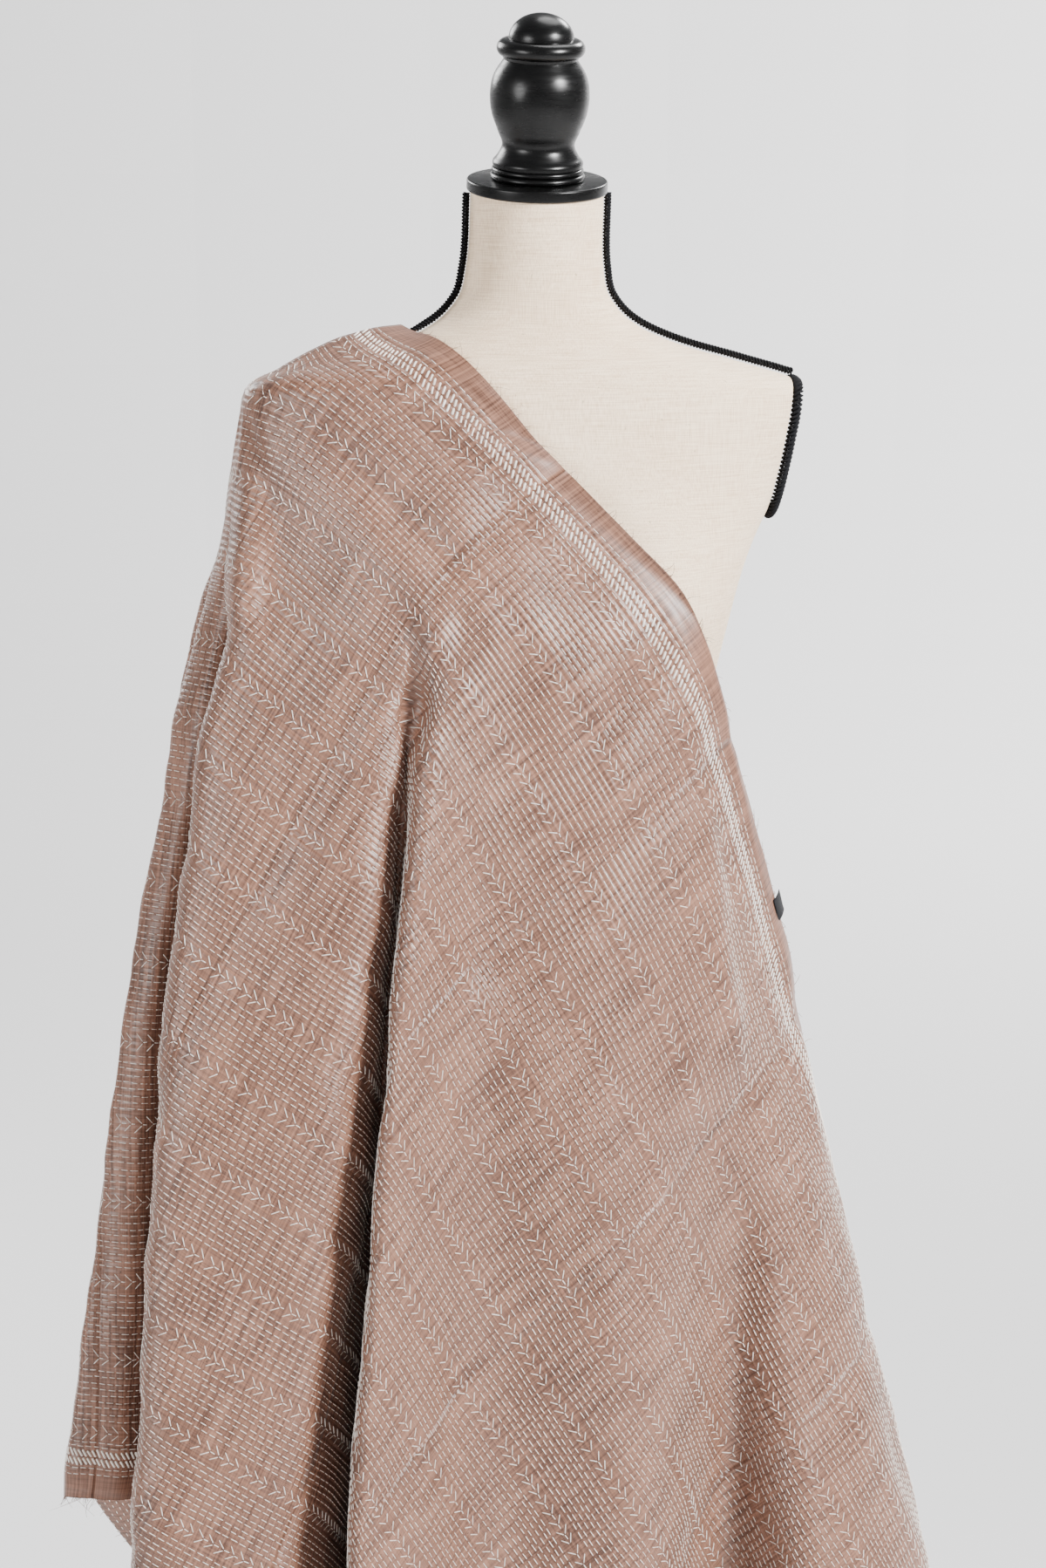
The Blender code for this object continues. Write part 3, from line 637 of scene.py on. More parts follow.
def braidedCord(name, path, radiusAt, closed, node):
    # Strands that turn round each other along the path.
    turn = trim["turn"] * radiusAt(abs(path[0][0]))
    path = resampled(path, turn / trim["perTurn"], closed)
    count = len(path)
    ahead = np.roll(path, -1, axis=0) - np.roll(path, 1, axis=0)
    if not closed:
        ahead[0], ahead[-1] = path[1] - path[0], path[-1] - path[-2]
    ahead /= np.linalg.norm(ahead, axis=1)[:, None]
    side = np.cross(ahead, (0, 1, 0)) if not closed else np.cross(ahead, (1, 0, 0))
    side /= np.linalg.norm(side, axis=1)[:, None]
    other = np.cross(ahead, side)
    turns = max(1, round(count / trim["perTurn"]))
    radius = np.array([radiusAt(x) for x in path[:, 0]])[:, None]
    points, triangles = [], []
    sides = trim["sides"]
    for strand in range(trim["strands"]):
        angle = math.tau * (turns * np.arange(count) / count + strand / trim["strands"])
        centre = path + radius * trim["apart"] * (
            np.cos(angle)[:, None] * side + np.sin(angle)[:, None] * other
        )
        start = len(points)
        for k in range(count):
            for n in range(sides):
                a = math.tau * n / sides
                outward = math.cos(a) * side[k] + math.sin(a) * other[k]
                points.append(centre[k] + radius[k] * trim["strand"] * outward)
        rings = count if closed else count - 1
        for k in range(rings):
            low, high = start + k * sides, start + (k + 1) % count * sides
            for n in range(sides):
                m = (n + 1) % sides
                triangles += [(low + n, low + m, high + m), (low + n, high + m, high + n)]
        if not closed:
            last = start + (count - 1) * sides
            for n in range(1, sides - 1):
                triangles += [(start, start + n + 1, start + n), (last, last + n, last + n + 1)]
    cord = fromTriangles(name, points, triangles)
    closeUp(cord)
    setMaterial(cord, looks["cord"])
    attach(cord, "root")
    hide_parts(node)


for side, word in ((-1, "Right"), (1, "Left")):
    path = shoulderRun(side, wood["clearance"])
    braidedCord(f"shoulderCord{word}", path, shoulderRadius, False, f"shoulder_trim_{word.lower()}")
    radius = trim["hidden" if side < 0 else "shown"]["armhole"]
    path = armholeRim(side, wood["clearance"] + radius)
    braidedCord(f"armholeCord{word}", path, lambda x: radius, True, f"armhole_trim_{word.lower()}")
print("trim made")


cloth = {
    "width": 0.944,
    "front": 1.150,
    "back": 1.100,
    "wall": 0.0009,
    "lay": 0.0034,  # from the form to the middle of the wall
    "neckSide": (-0.098, 0.001, 1.4690),
    "shoulderTip": (-0.2035, -0.005, 1.4280),
    "tip": 0.112,  # how far across the cloth the shoulder's tip lies
    "arch": 0.0088,
    "fineRows": 24,
    "tightenings": 160,
    "roundings": 8,
    "trimWidth": 0.006,
    "mostMoved": 0.010,
    "fadeWidth": 0.45,
    "linesPerFold": 10,
    "rows": (38, 28, 40),  # shoulder to bust, bust to hip, hip to hem
    "onChest": (0.25, 0.1),  # a flat place that lies on the chest
}
gradientStep = 0.0001

# One row for each ridge and valley line, from the edge over the left hip round to the back edge.
# A line runs from topT on the shoulder by the bust and the hip to the hem. Each "cut" is a place
# (s, t) on the flat cloth, s along it from the shoulder and t across it from the neck's edge.
Fold = namedtuple("Fold", "name topT bustCut bust hipCut hip hemCut hem")
far, tip = cloth["width"], cloth["tip"]
frontEnd, backEnd = cloth["front"], -cloth["back"]
folds = [
    Fold("edge", 0.000, (0.318, 0.000), (0.099, -0.127, 1.275), (0.680, 0.000),
         (0.203, -0.018, 0.955), (frontEnd, 0.00), (0.250, 0.085)),
    Fold("wrap", 0.008, (0.324, 0.008), (0.101, -0.126, 1.268), (0.680, 0.020),
         (0.195, -0.034, 0.955), (frontEnd, 0.10), (0.310, 0.010)),
    Fold("side", 0.018, (0.328, 0.014), (0.099, -0.127, 1.263), (0.680, 0.036),
         (0.184, -0.045, 0.955), (frontEnd, 0.20), (0.297, -0.078)),
    Fold("right", 0.030, (0.322, 0.020), (0.092, -0.129, 1.262), (0.655, 0.075),
         (0.152, -0.078, 0.955), (frontEnd, 0.35), (0.210, -0.150)),
    Fold("hollow", 0.042, (0.312, 0.031), (0.080, -0.129, 1.261), (0.620, 0.115),
         (0.128, -0.112, 0.955), (frontEnd, 0.49), (0.135, -0.050)),
    Fold("middle", 0.062, (0.280, 0.068), (0.030, -0.129, 1.262), (0.550, 0.200),
         (0.035, -0.150, 0.960), (frontEnd, 0.67), (0.055, -0.185)),
    Fold("soft", 0.082, (0.245, 0.108), (-0.030, -0.129, 1.262), (0.485, 0.295),
         (-0.056, -0.138, 0.960), (frontEnd, 0.77), (-0.030, -0.125)),
    Fold("corner", 0.094, (0.228, 0.128), (-0.055, -0.129, 1.262), (0.466, 0.332),
         (-0.095, -0.152, 0.960), (frontEnd, far), (-0.150, -0.190)),
    Fold("ridge", 0.103, (0.210, 0.150), (-0.080, -0.130, 1.258), (0.440, 0.375),
         (-0.127, -0.168, 0.960), (1.070, far), (-0.200, -0.215)),
    Fold("deep", 0.108, (0.190, 0.172), (-0.103, -0.118, 1.254), (0.365, 0.420),
         (-0.124, -0.098, 0.960), (0.735, far), (-0.150, -0.020)),
    Fold("left", tip, (0.172, 0.188), (-0.120, -0.112, 1.250), (0.290, 0.465),
         (-0.160, -0.148, 0.960), (0.510, far), (-0.210, -0.150)),
    Fold("panel", tip, (0.130, 0.240), (-0.176, -0.093, 1.235), (0.230, 0.505),
         (-0.222, -0.140, 0.960), (0.430, far), (-0.250, -0.160)),
    Fold("fold", tip, (0.085, 0.315), (-0.242, -0.075, 1.207), (0.165, 0.545),
         (-0.285, -0.115, 0.960), (0.360, far), (-0.318, -0.140)),
    Fold("valley", tip, None, (-0.224, -0.030, 1.225), None,
         (-0.250, 0.000, 0.960), (0.120, far), (-0.235, 0.060)),
    Fold("strip", tip, None, (-0.247, -0.032, 1.222), None,
         (-0.293, -0.048, 0.960), (-0.02, far), (-0.315, -0.050)),
    Fold("outer", tip, None, (-0.259, -0.012, 1.224), None,
         (-0.312, -0.035, 0.960), (-0.08, far), (-0.358, -0.040)),
    Fold("back1", tip, None, (-0.226, 0.030, 1.230), None,
         (-0.235, 0.042, 0.960), (-0.27, far), (-0.250, 0.110)),
    Fold("back2", tip, None, (-0.250, 0.060, 1.240), None,
         (-0.290, 0.085, 0.960), (-0.45, far), (-0.320, 0.245)),
    Fold("back3", tip, None, (-0.216, 0.068, 1.250), None,
         (-0.225, 0.100, 0.960), (-0.63, far), (-0.220, 0.150)),
    Fold("back4", tip, None, (-0.232, 0.096, 1.258), None,
         (-0.265, 0.142, 0.960), (-0.80, far), (-0.270, 0.270)),
    Fold("back5", tip, None, (-0.202, 0.088, 1.262), None,
         (-0.222, 0.136, 0.960), (-0.96, far), (-0.200, 0.190)),
    Fold("back6", tip, None, (-0.205, 0.118, 1.266), None,
         (-0.232, 0.170, 0.960), (backEnd, far), (-0.220, 0.280)),
    Fold("back7", tip, None, (-0.183, 0.104, 1.268), None,
         (-0.190, 0.142, 0.960), (backEnd, 0.77), (-0.155, 0.170)),
    Fold("back8", tip, None, (-0.178, 0.126, 1.270), None,
         (-0.202, 0.200, 0.960), (backEnd, 0.58), (-0.150, 0.330)),
    Fold("back9", tip, None, (-0.163, 0.110, 1.270), None,
         (-0.162, 0.142, 0.960), (backEnd, 0.38), (-0.100, 0.160)),
    Fold("back10", 0.108, None, (-0.148, 0.118, 1.270), None,
         (-0.142, 0.205, 0.960), (backEnd, 0.20), (-0.070, 0.320)),
    Fold("backMiddle", 0.060, None, (-0.120, 0.106, 1.270), None,
         (-0.100, 0.150, 0.960), (backEnd, 0.10), (-0.020, 0.240)),
    Fold("backEdge", 0.000, None, (-0.092, 0.104, 1.270), None,
         (-0.050, 0.130, 0.960), (backEnd, 0.00), (0.030, 0.170)),
]


def formField(points):
    # Below 0 inside the form, its ends rounded off round the trim, and above 0 outside.
    x, y, z = np.moveaxis(points, -1, 0)
    across = np.abs(x) - np.interp(np.abs(x), (0.150, 0.190), (0, cloth["trimWidth"]))
    ahead = formAt(z, "middle") - y
    front = np.maximum(ahead - bustDepth(x, z, True), 0) / formAt(z, "front")
    depth = np.where(ahead > 0, front, ahead / formAt(z, "back"))
    field = (across / formAt(z, "halfWidth")) ** form["roundness"] + depth**2 - 1
    return np.where(z > form["bottom"], field, 1.0)


def clearOfForm(points, most=None):
    # Moves places of the cloth straight out of the form, until they lie on it or off it.
    field = formField(points)
    steps = np.eye(3) * gradientStep
    rise = np.stack([formField(points + step) - field for step in steps], axis=-1) / gradientStep
    steep = np.maximum(np.linalg.norm(rise, axis=-1), gradientStep)
    short = np.clip(cloth["lay"] - field / steep, 0, most or cloth["mostMoved"])
    return points + rise * (short / steep)[..., None]


def tight(lines):
    for _ in range(cloth["tightenings"]):
        lines[:, 1:-1] = clearOfForm((lines[:, :-2] + lines[:, 2:]) / 2)
    return lines


def rounded(lines):
    for _ in range(cloth["roundings"]):
        lines[:, 2:-1] = clearOfForm((lines[:, 1:-2] + 2 * lines[:, 2:-1] + lines[:, 3:]) / 4)
    return lines


def shoulderPoint(t):
    share = np.atleast_1d(t)[:, None] / cloth["tip"]
    rise = np.array((0, 0, cloth["arch"])) * 4 * share * (1 - share)
    start, end = np.array(cloth["neckSide"]), np.array(cloth["shoulderTip"])
    return start + (end - start) * share + rise


def stations(fold):
    # The four places that a fold line runs through, on the flat cloth and in space.
    top = shoulderPoint(fold.topT)[0]
    bustPlace, hip = np.array(fold.bust), np.array(fold.hip)
    topCut, hemCut = np.array((0, fold.topT)), np.array(fold.hemCut)
    if fold.bustCut is None:
        along = (hemCut - topCut) / np.linalg.norm(hemCut - topCut)
        bustCut = topCut + along * np.linalg.norm(bustPlace - top)
        hipCut = bustCut + along * np.linalg.norm(hip - bustPlace)
    else:
        bustCut, hipCut = np.array(fold.bustCut), np.array(fold.hipCut)
    length = np.linalg.norm(hemCut - hipCut)  # the last stretch keeps its length
    drop = math.sqrt(length**2 - (fold.hem[0] - hip[0]) ** 2 - (fold.hem[1] - hip[1]) ** 2)
    hem = np.array((*fold.hem, hip[2] - drop))
    return np.array((topCut, bustCut, hipCut, hemCut)), np.array((top, bustPlace, hip, hem))


def draped(across, down):
    # Cloth at fold numbers `across` and station numbers `down`: flat places and real ones.
    cuts, places = zip(*(stations(fold) for fold in folds))
    cuts, places = np.array(cuts), np.array(places)
    spread = sum(np.linalg.norm(np.diff(places[:, k], axis=0), axis=1) for k in (2, 3))
    knots = np.concatenate([[0], np.cumsum(spread)])
    at = np.interp(across, np.arange(len(folds)), knots)
    topT = np.interp(at, knots, [fold.topT for fold in folds])
    lines = [shoulderPoint(topT)] + [curveThrough(knots, places[:, k], at) for k in (1, 2, 3)]
    flats = [np.stack([0 * topT, topT], axis=1)]
    flats += [curveThrough(knots, cuts[:, k], at) for k in (1, 2, 3)]
    # Toward the shoulder the folds flatten out.
    near = np.exp(-(((at[:, None] - knots) / cloth["fadeWidth"]) ** 2))
    even = near @ places[:, 1] / near.sum(axis=1)[:, None]
    fineRows = cloth["fineRows"]
    fine = np.arange(3 * fineRows + 1) / fineRows
    stretch = np.minimum(fine.astype(int), 2)
    w = (fine - stretch)[:, None, None]
    real, flat = (
        np.moveaxis(np.array(rows)[stretch] * (1 - w) + np.array(rows)[stretch + 1] * w, 0, 1)
        for rows in (lines, flats)
    )
    upper = slice(fineRows + 1)
    real[:, upper] = tight(real[:, upper])
    easing = (fine * (1 - fine**2))[None, upper, None]
    real[:, upper] += easing * (even - lines[1])[:, None]
    real = rounded(real)
    columns = len(at)
    stacked = np.concatenate([flat, real], axis=2)
    stacked = np.moveaxis(stacked, 1, 0).reshape(len(fine), -1)
    sampled = curveThrough(fine, stacked, down).reshape(len(down), columns, 5)
    sampled = np.moveaxis(sampled, 0, 1)
    return sampled[..., :2], sampled[..., 2:]


def surfaceNormals(real):
    # Unit normals of the grid's points, outwards.
    along = np.gradient(real, axis=1)
    over = np.gradient(real, axis=0)
    normal = np.cross(along, over)
    size = np.linalg.norm(normal, axis=2)
    normal[:, 0] = normal[:, 1]
    size[:, 0] = size[:, 1]
    return normal / np.maximum(size, 1e-12)[..., None]


def makeSheetGrid():
    perFold = cloth["linesPerFold"]
    across = np.arange((len(folds) - 1) * perFold + 1) / perFold
    down = np.concatenate([[0]] + [k + (np.arange(n) + 1) / n for k, n in enumerate(cloth["rows"])])
    down = np.where(down < 1, down**1.25, down)
    return draped(across, down)


flat, real = makeSheetGrid()
print("drape worked out", real.shape)


def gridTriangles(points, columns, rows):
    # The grid's cells as triangles, each cell cut along its shorter diagonal.
    number = np.arange(columns * rows).reshape(columns, rows)
    a, b = number[:-1, :-1].ravel(), number[:-1, 1:].ravel()
    c, d = number[1:, 1:].ravel(), number[1:, :-1].ravel()
    one = np.linalg.norm(points[a] - points[c], axis=1)
    other = np.linalg.norm(points[b] - points[d], axis=1)
    short = (one <= other)[:, None]
    first = np.where(short, np.stack([a, b, c], 1), np.stack([b, c, d], 1))
    second = np.where(short, np.stack([a, c, d], 1), np.stack([b, d, a], 1))
    return np.vstack([first, second])


easing = {"steps": 700, "momentum": 0.97, "pace": 0.5, "hold": 0.0006, "shortest": 0.002}


def eased(flat, real):
    # Moves the flat places, so that each triangle gets near to its true size and shape. They are
    # complex numbers, s + t i. Each triangle is laid flat and turned to fit its present places,
    # and then each place moves to where its triangles want it.
    columns, rows = real.shape[:2]
    points = real.reshape(-1, 3)
    triangles = gridTriangles(points, columns, rows)
    a, b, c = points[triangles[:, 0]], points[triangles[:, 1]], points[triangles[:, 2]]
    base = np.linalg.norm(b - a, axis=1)
    firm = base > 1e-7
    triangles, a, b, c, base = triangles[firm], a[firm], b[firm], c[firm], base[firm]
    along = ((c - a) * (b - a)).sum(axis=1) / base
    high = np.linalg.norm(np.cross(b - a, c - a), axis=1) / base
    laid = np.stack([0 * base + 0j, base + 0j, along + 1j * high], axis=1)
    place = flat.reshape(-1, 2) @ np.array((1, 1j))
    now = place[triangles]
    turned = ((now[:, 1] - now[:, 0]) * np.conj(now[:, 2] - now[:, 0])).imag
    if np.median(turned) > 0:  # the flat cloth is seen from its other side
        laid = np.conj(laid)
    edges = laid - np.roll(laid, -1, axis=1)
    ends = np.roll(triangles, -1, axis=1)
    weight = 1 / np.maximum(np.abs(edges), easing["shortest"])
    hold = easing["hold"] / easing["shortest"]
    total = np.bincount(triangles.ravel(), weight.ravel(), len(place))
    total += np.bincount(ends.ravel(), weight.ravel(), len(place)) + hold
    number = np.arange(columns * rows).reshape(columns, rows)
    still = np.zeros(columns * rows, bool)
    still[number[:, 0]] = still[number[:, -1]] = True
    onEdge = np.zeros(columns * rows, bool)
    onEdge[number[0]] = onEdge[number[-1]] = True
    start, speed = place.copy(), 0 * place
    for _ in range(easing["steps"]):
        now = place[triangles] - place[ends]
        turn = (weight * now * np.conj(edges)).sum(axis=1)
        turn /= np.maximum(np.abs(turn), 1e-12)
        wanted = edges * turn[:, None]
        toStart = weight * (place[ends] + wanted)
        toEnd = weight * (place[triangles] - wanted)
        pull = hold * start
        for spot, value in ((triangles, toStart), (ends, toEnd)):
            pull = pull + np.bincount(spot.ravel(), value.real.ravel(), len(place))
            pull = pull + 1j * np.bincount(spot.ravel(), value.imag.ravel(), len(place))
        step = pull / total - place
        step[still] = 0
        step[onEdge] = step[onEdge].real
        speed = easing["momentum"] * speed + step
        if (speed.conj() * step).real.sum() < 0:
            speed = 0 * speed
        place = place + speed * easing["pace"]
    return np.stack([place.real, place.imag], axis=1).reshape(flat.shape)


def unevenness(flat):
    lift = np.zeros(flat.shape[:2])
    share, finer = wear["fineRipple"]
    for i, line in enumerate(flat):
        for j, (s, t) in enumerate(line):
            at = Vector((s / wear["rippleSize"] * wear["rippleAlong"], t / wear["rippleSize"], 0.0))
            lift[i, j] = wear["ripple"] * (noise.noise(at) + share * noise.noise(at * finer))
    return lift


# Soft drag folds on the front: start and end (x, z), height and width. A trough is below 0.
drags = [
    ((-0.118, 1.442), (0.030, 1.368), 0.0080, 0.009),
    ((-0.150, 1.428), (-0.020, 1.352), 0.0060, 0.010),
    ((-0.165, 1.400), (-0.075, 1.300), 0.0065, 0.012),
    ((-0.060, 1.270), (-0.135, 1.150), 0.0070, 0.013),
    ((0.080, 1.245), (-0.010, 1.130), 0.0080, 0.014),
    ((-0.206, 1.405), (-0.222, 1.235), -0.0150, 0.011),
]
dragBack = 0.02  # cloth farther back than this has none
dragFullness = 0.7


def dragged(real):
    x, y, z = np.moveaxis(real, -1, 0)
    lift = 0 * x
    for start, end, height, width in drags:
        along = np.array(end) - start
        length = np.linalg.norm(along)
        along = along / length
        at = (x - start[0]) * along[0] + (z - start[1]) * along[1]
        off = (x - start[0]) * along[1] - (z - start[1]) * along[0]
        share = np.clip(at / length, 0, 1)
        shape = np.exp(-((off / width) ** 2)) * np.sin(math.pi * share) ** dragFullness
        lift += height * shape * (y < dragBack)
    return lift


def creased(flat, real):
    normals = surfaceNormals(real)
    lift = unevenness(flat) + dragged(real)
    gap = wear["creaseGap"]
    away = np.abs((flat[..., 0] - wear["creaseStart"] + gap / 2) % gap - gap / 2)
    lift += wear["creaseHeight"] * np.exp(-away / wear["creaseWidth"])
    share = np.clip(np.linalg.norm(flat - (0, cloth["tip"]), axis=2) / wear["calm"], 0, 1)
    return real + normals * (lift * share)[..., None]


flat = eased(flat, real)
real = clearOfForm(creased(flat, real))
print("cloth eased and creased")


def makeDupatta(flat, real):
    columns, rows = real.shape[:2]
    points = real.reshape(-1, 3)
    same = np.unique(np.round(points, 6), axis=0, return_index=True, return_inverse=True)
    number = same[1][same[2].reshape(-1)]  # points at one place get one number
    triangles = number[gridTriangles(points, columns, rows)]
    whole = (
        (triangles[:, 0] != triangles[:, 1])
        & (triangles[:, 1] != triangles[:, 2])
        & (triangles[:, 2] != triangles[:, 0])
    )
    triangles = triangles[whole]
    used, inverse = np.unique(triangles, return_inverse=True)
    triangles = inverse.reshape(-1, 3)
    sheet = fromTriangles("dupatta", points[used], triangles)
    place = sheet.data.attributes.new("clothPlace", "FLOAT_VECTOR", "POINT")
    flatPoints = flat.reshape(-1, 2)[used]
    kept = np.stack([flatPoints[:, 1], flatPoints[:, 0], np.zeros(len(used))], axis=1)
    place.data.foreach_set("vector", kept.astype(np.float32).ravel())
    setMaterial(sheet, looks["silk"], looks["silkReverse"])
    return sheet, points[used], flatPoints, triangles


dupatta, sheetPoints, sheetFlat, sheetTriangles = makeDupatta(flat, real)
dupatta.data.update()
sheetNormals = np.array([v.normal for v in dupatta.data.vertices])
facing = sheetNormals[np.argmin(np.abs(sheetFlat - cloth["onChest"]).sum(axis=1))]
if facing[1] > 0:  # the right side of the cloth faces the front
    dupatta.data.flip_normals()
    sheetNormals = -sheetNormals
applyModifier(dupatta, "SOLIDIFY", thickness=cloth["wall"], offset=0.0, material_offset=1)
print("dupatta made", len(dupatta.data.polygons))


# Stitches are laid on the sheet at their places on the flat cloth.
flatTree = BVHTree.FromPolygons(
    [(s, t, 0.0) for s, t in sheetFlat], [tuple(map(int, tri)) for tri in sheetTriangles]
)


def onCloth(places):
    # Points and normals of the sheet at places (s, t) on the flat cloth.
    found = [flatTree.find_nearest((s, t, 0.0)) for s, t in places]
    index = np.array([hit[2] for hit in found])
    at = np.array([(hit[0].x, hit[0].y) for hit in found])
    a, b, c = (sheetTriangles[index, k] for k in range(3))
    pa, pb, pc = sheetFlat[a], sheetFlat[b], sheetFlat[c]
    whole = np.cross(pb - pa, pc - pa)
    whole = np.where(np.abs(whole) < 1e-14, 1e-14, whole)
    wb = np.clip(np.cross(at - pa, pc - pa) / whole, 0, 1)
    wc = np.clip(np.cross(pb - pa, at - pa) / whole, 0, 1)
    wa = np.clip(1 - wb - wc, 0, 1)
    weights = np.stack([wa, wb, wc], axis=1)
    weights /= weights.sum(axis=1)[:, None]
    corners = np.stack([a, b, c], axis=1)
    points = (sheetPoints[corners] * weights[..., None]).sum(axis=1)
    normals = (sheetNormals[corners] * weights[..., None]).sum(axis=1)
    normals /= np.maximum(np.linalg.norm(normals, axis=1), 1e-9)[:, None]
    return points, normals


stitch = {
    "repeat": 0.060,
    "firstBand": 0.052,
    "bands": 15,
    "rowGap": 0.0049,
    "rowsBetween": 9,
    "borderRows": (0.0190, 0.0238, 0.0408, 0.0450),
    "dash": 0.0060,
    "gap": 0.0012,
    "thread": 0.00034,
    "height": 0.00050,
    "bandPitch": 0.0086,
    "armBack": 0.0058,
    "armOut": 0.0062,
    "stem": 0.0042,
    "flyThread": 0.00038,
    "borderBand": 0.0325,
    "satinPitch": 0.0040,
    "satinBack": 0.0042,
    "satinOut": 0.0064,
    "satinThread": 0.00098,
    "satinHeight": 0.0007,
    "endMargin": 0.008,
    "bandMargin": 0.012,
    "rings": (0.14, 0.86),  # where a thread is full, as shares of its length
    "sunk": 0.3,  # how deep a thread's ends and its sides lie, and how high it rises, in heights
    "footing": 0.1,
    "rise": 1.1,
    "dashSpread": (0.86, 1.14),
    "gapSpread": (0.75, 1.30),
    "jitter": 0.00012,
    "armOutSpread": (0.85, 1.1),
    "armBackSpread": (0.85, 1.15),
    "stemSpread": (0.8, 1.2),
    "stemShare": 0.75,
}
draw = np.random.default_rng(11)


def stitchMesh(name, starts, ends, radius, height):
    # Each stitch is a short closed thread that rises from the cloth and dips back into it.
    rings = stitch["rings"]
    count, last = len(starts), 3 * len(rings) + 1
    shares = (0.0, *rings, 1.0)
    points, normals = onCloth(np.concatenate([starts * (1 - w) + ends * w for w in shares]))
    points, normals = points.reshape(-1, count, 3), normals.reshape(-1, count, 3)
    ahead = points[-1] - points[0]
    ahead /= np.maximum(np.linalg.norm(ahead, axis=1), 1e-9)[:, None]
    up = cloth["wall"] / 2
    made = np.zeros((count, last + 1, 3))
    made[:, 0] = points[0] + normals[0] * (up - height * stitch["sunk"])
    made[:, last] = points[-1] + normals[-1] * (up - height * stitch["sunk"])
    for k in range(1, len(rings) + 1):
        side = np.cross(normals[k], ahead)
        side /= np.maximum(np.linalg.norm(side, axis=1), 1e-9)[:, None]
        base = points[k] + normals[k] * (up - height * stitch["footing"])
        made[:, 3 * k - 2] = base - side * radius
        made[:, 3 * k - 1] = base + side * radius
        made[:, 3 * k] = base + normals[k] * height * stitch["rise"]
    shape = [(0, 2, 1), (0, 3, 2), (0, 1, 3)]
    for k in range(1, last - 3, 3):
        shape += [(k, k + 1, k + 4), (k, k + 4, k + 3), (k + 1, k + 2, k + 5)]
        shape += [(k + 1, k + 5, k + 4), (k + 2, k, k + 3), (k + 2, k + 3, k + 5)]
    k = last - 3
    shape += [(last, k, k + 1), (last, k + 1, k + 2), (last, k + 2, k)]
    triangles = (np.arange(count)[:, None, None] * (last + 1) + np.array(shape)).reshape(-1, 3)
    piece = fromTriangles(name, made.reshape(-1, 3), triangles)
    setMaterial(piece, looks["thread"])
    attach(piece, "root")
    return piece


def rowPlaces():
    centres = stitch["firstBand"] + stitch["repeat"] * np.arange(stitch["bands"])
    count = stitch["rowsBetween"]
    offsets = stitch["rowGap"] * (np.arange(count) - (count - 1) / 2)
    between = (centres[:-1, None] + stitch["repeat"] / 2 + offsets).ravel()
    border = np.array(stitch["borderRows"])
    return np.sort(np.concatenate([border, between, cloth["width"] - border])), centres


def runningStitches(rows):
    starts, ends = [], []
    for row in rows:
        s = -cloth["back"] + stitch["endMargin"] + draw.uniform(0, 0.006)
        count = int((cloth["front"] + cloth["back"]) / (stitch["dash"] + stitch["gap"]))
        dashes = stitch["dash"] * draw.uniform(*stitch["dashSpread"], count)
        gaps = stitch["gap"] * draw.uniform(*stitch["gapSpread"], count)
        begin = s + np.concatenate([[0], np.cumsum(dashes + gaps)[:-1]])
        wander = 0.0004 * np.sin(begin * 31 + row * 800) + draw.normal(0, stitch["jitter"], count)
        keep = begin + dashes < cloth["front"] - stitch["endMargin"]
        place = row + wander
        starts.append(np.stack([begin, place], axis=1)[keep])
        tiltBy = draw.normal(0, stitch["jitter"], count)
        ends.append(np.stack([begin + dashes, place + tiltBy], axis=1)[keep])
    return np.concatenate(starts), np.concatenate(ends)


def bandPlaces(pitch):
    margin = stitch["bandMargin"]
    return np.arange(-cloth["back"] + margin, cloth["front"] - margin, pitch)


def bandStitches(centres):
    # Fly stitches: two arms to the middle and a short stem onward.
    starts, ends = [], []
    for centre in centres:
        s = bandPlaces(stitch["bandPitch"])
        s = s + draw.normal(0, 0.0004, len(s))
        drift = centre + 0.0006 * np.sin(s * 23 + centre * 70)
        for side in (-1, 1):
            out = side * stitch["armOut"] * draw.uniform(*stitch["armOutSpread"], len(s))
            back = stitch["armBack"] * draw.uniform(*stitch["armBackSpread"], len(s))
            starts.append(np.stack([s - back, drift + out], axis=1))
            ends.append(np.stack([s, drift + side * 0.0004], axis=1))
        stems = draw.uniform(0, 1, len(s)) < stitch["stemShare"]
        long = stitch["stem"] * draw.uniform(*stitch["stemSpread"], len(s))
        starts.append(np.stack([s, drift], axis=1)[stems])
        ends.append(np.stack([s + long, drift + draw.normal(0, 0.0003, len(s))], axis=1)[stems])
    return np.concatenate(starts), np.concatenate(ends)


def satinStitches():
    starts, ends = [], []
    for centre in (stitch["borderBand"], cloth["width"] - stitch["borderBand"]):
        s = bandPlaces(stitch["satinPitch"])
        s = s + draw.normal(0, 0.00015, len(s))
        swell = 1 + 0.10 * np.sin(s * 260) + draw.normal(0, 0.05, len(s))
        for side in (-1, 1):
            out = centre + side * stitch["satinOut"] * swell
            starts.append(np.stack([s + side * stitch["satinBack"], out], axis=1))
            ends.append(np.stack([s, centre + side * 0.0002 + 0 * s], axis=1))
    return np.concatenate(starts), np.concatenate(ends)


rows, bandCentres = rowPlaces()
starts, ends = runningStitches(rows)
thirds = np.array_split(np.arange(len(starts)), 3)
stitching = [
    stitchMesh(
        f"runningStitches{k + 1}", starts[part], ends[part], stitch["thread"], stitch["height"]
    )
    for k, part in enumerate(thirds)
]
starts, ends = bandStitches(bandCentres)
stitching.append(stitchMesh("flyStitches", starts, ends, stitch["flyThread"], stitch["height"]))
starts, ends = satinStitches()
border = stitchMesh("borderStitches", starts, ends, stitch["satinThread"], stitch["satinHeight"])
stitching.append(border)
print("stitches made", [len(piece.data.polygons) for piece in stitching])


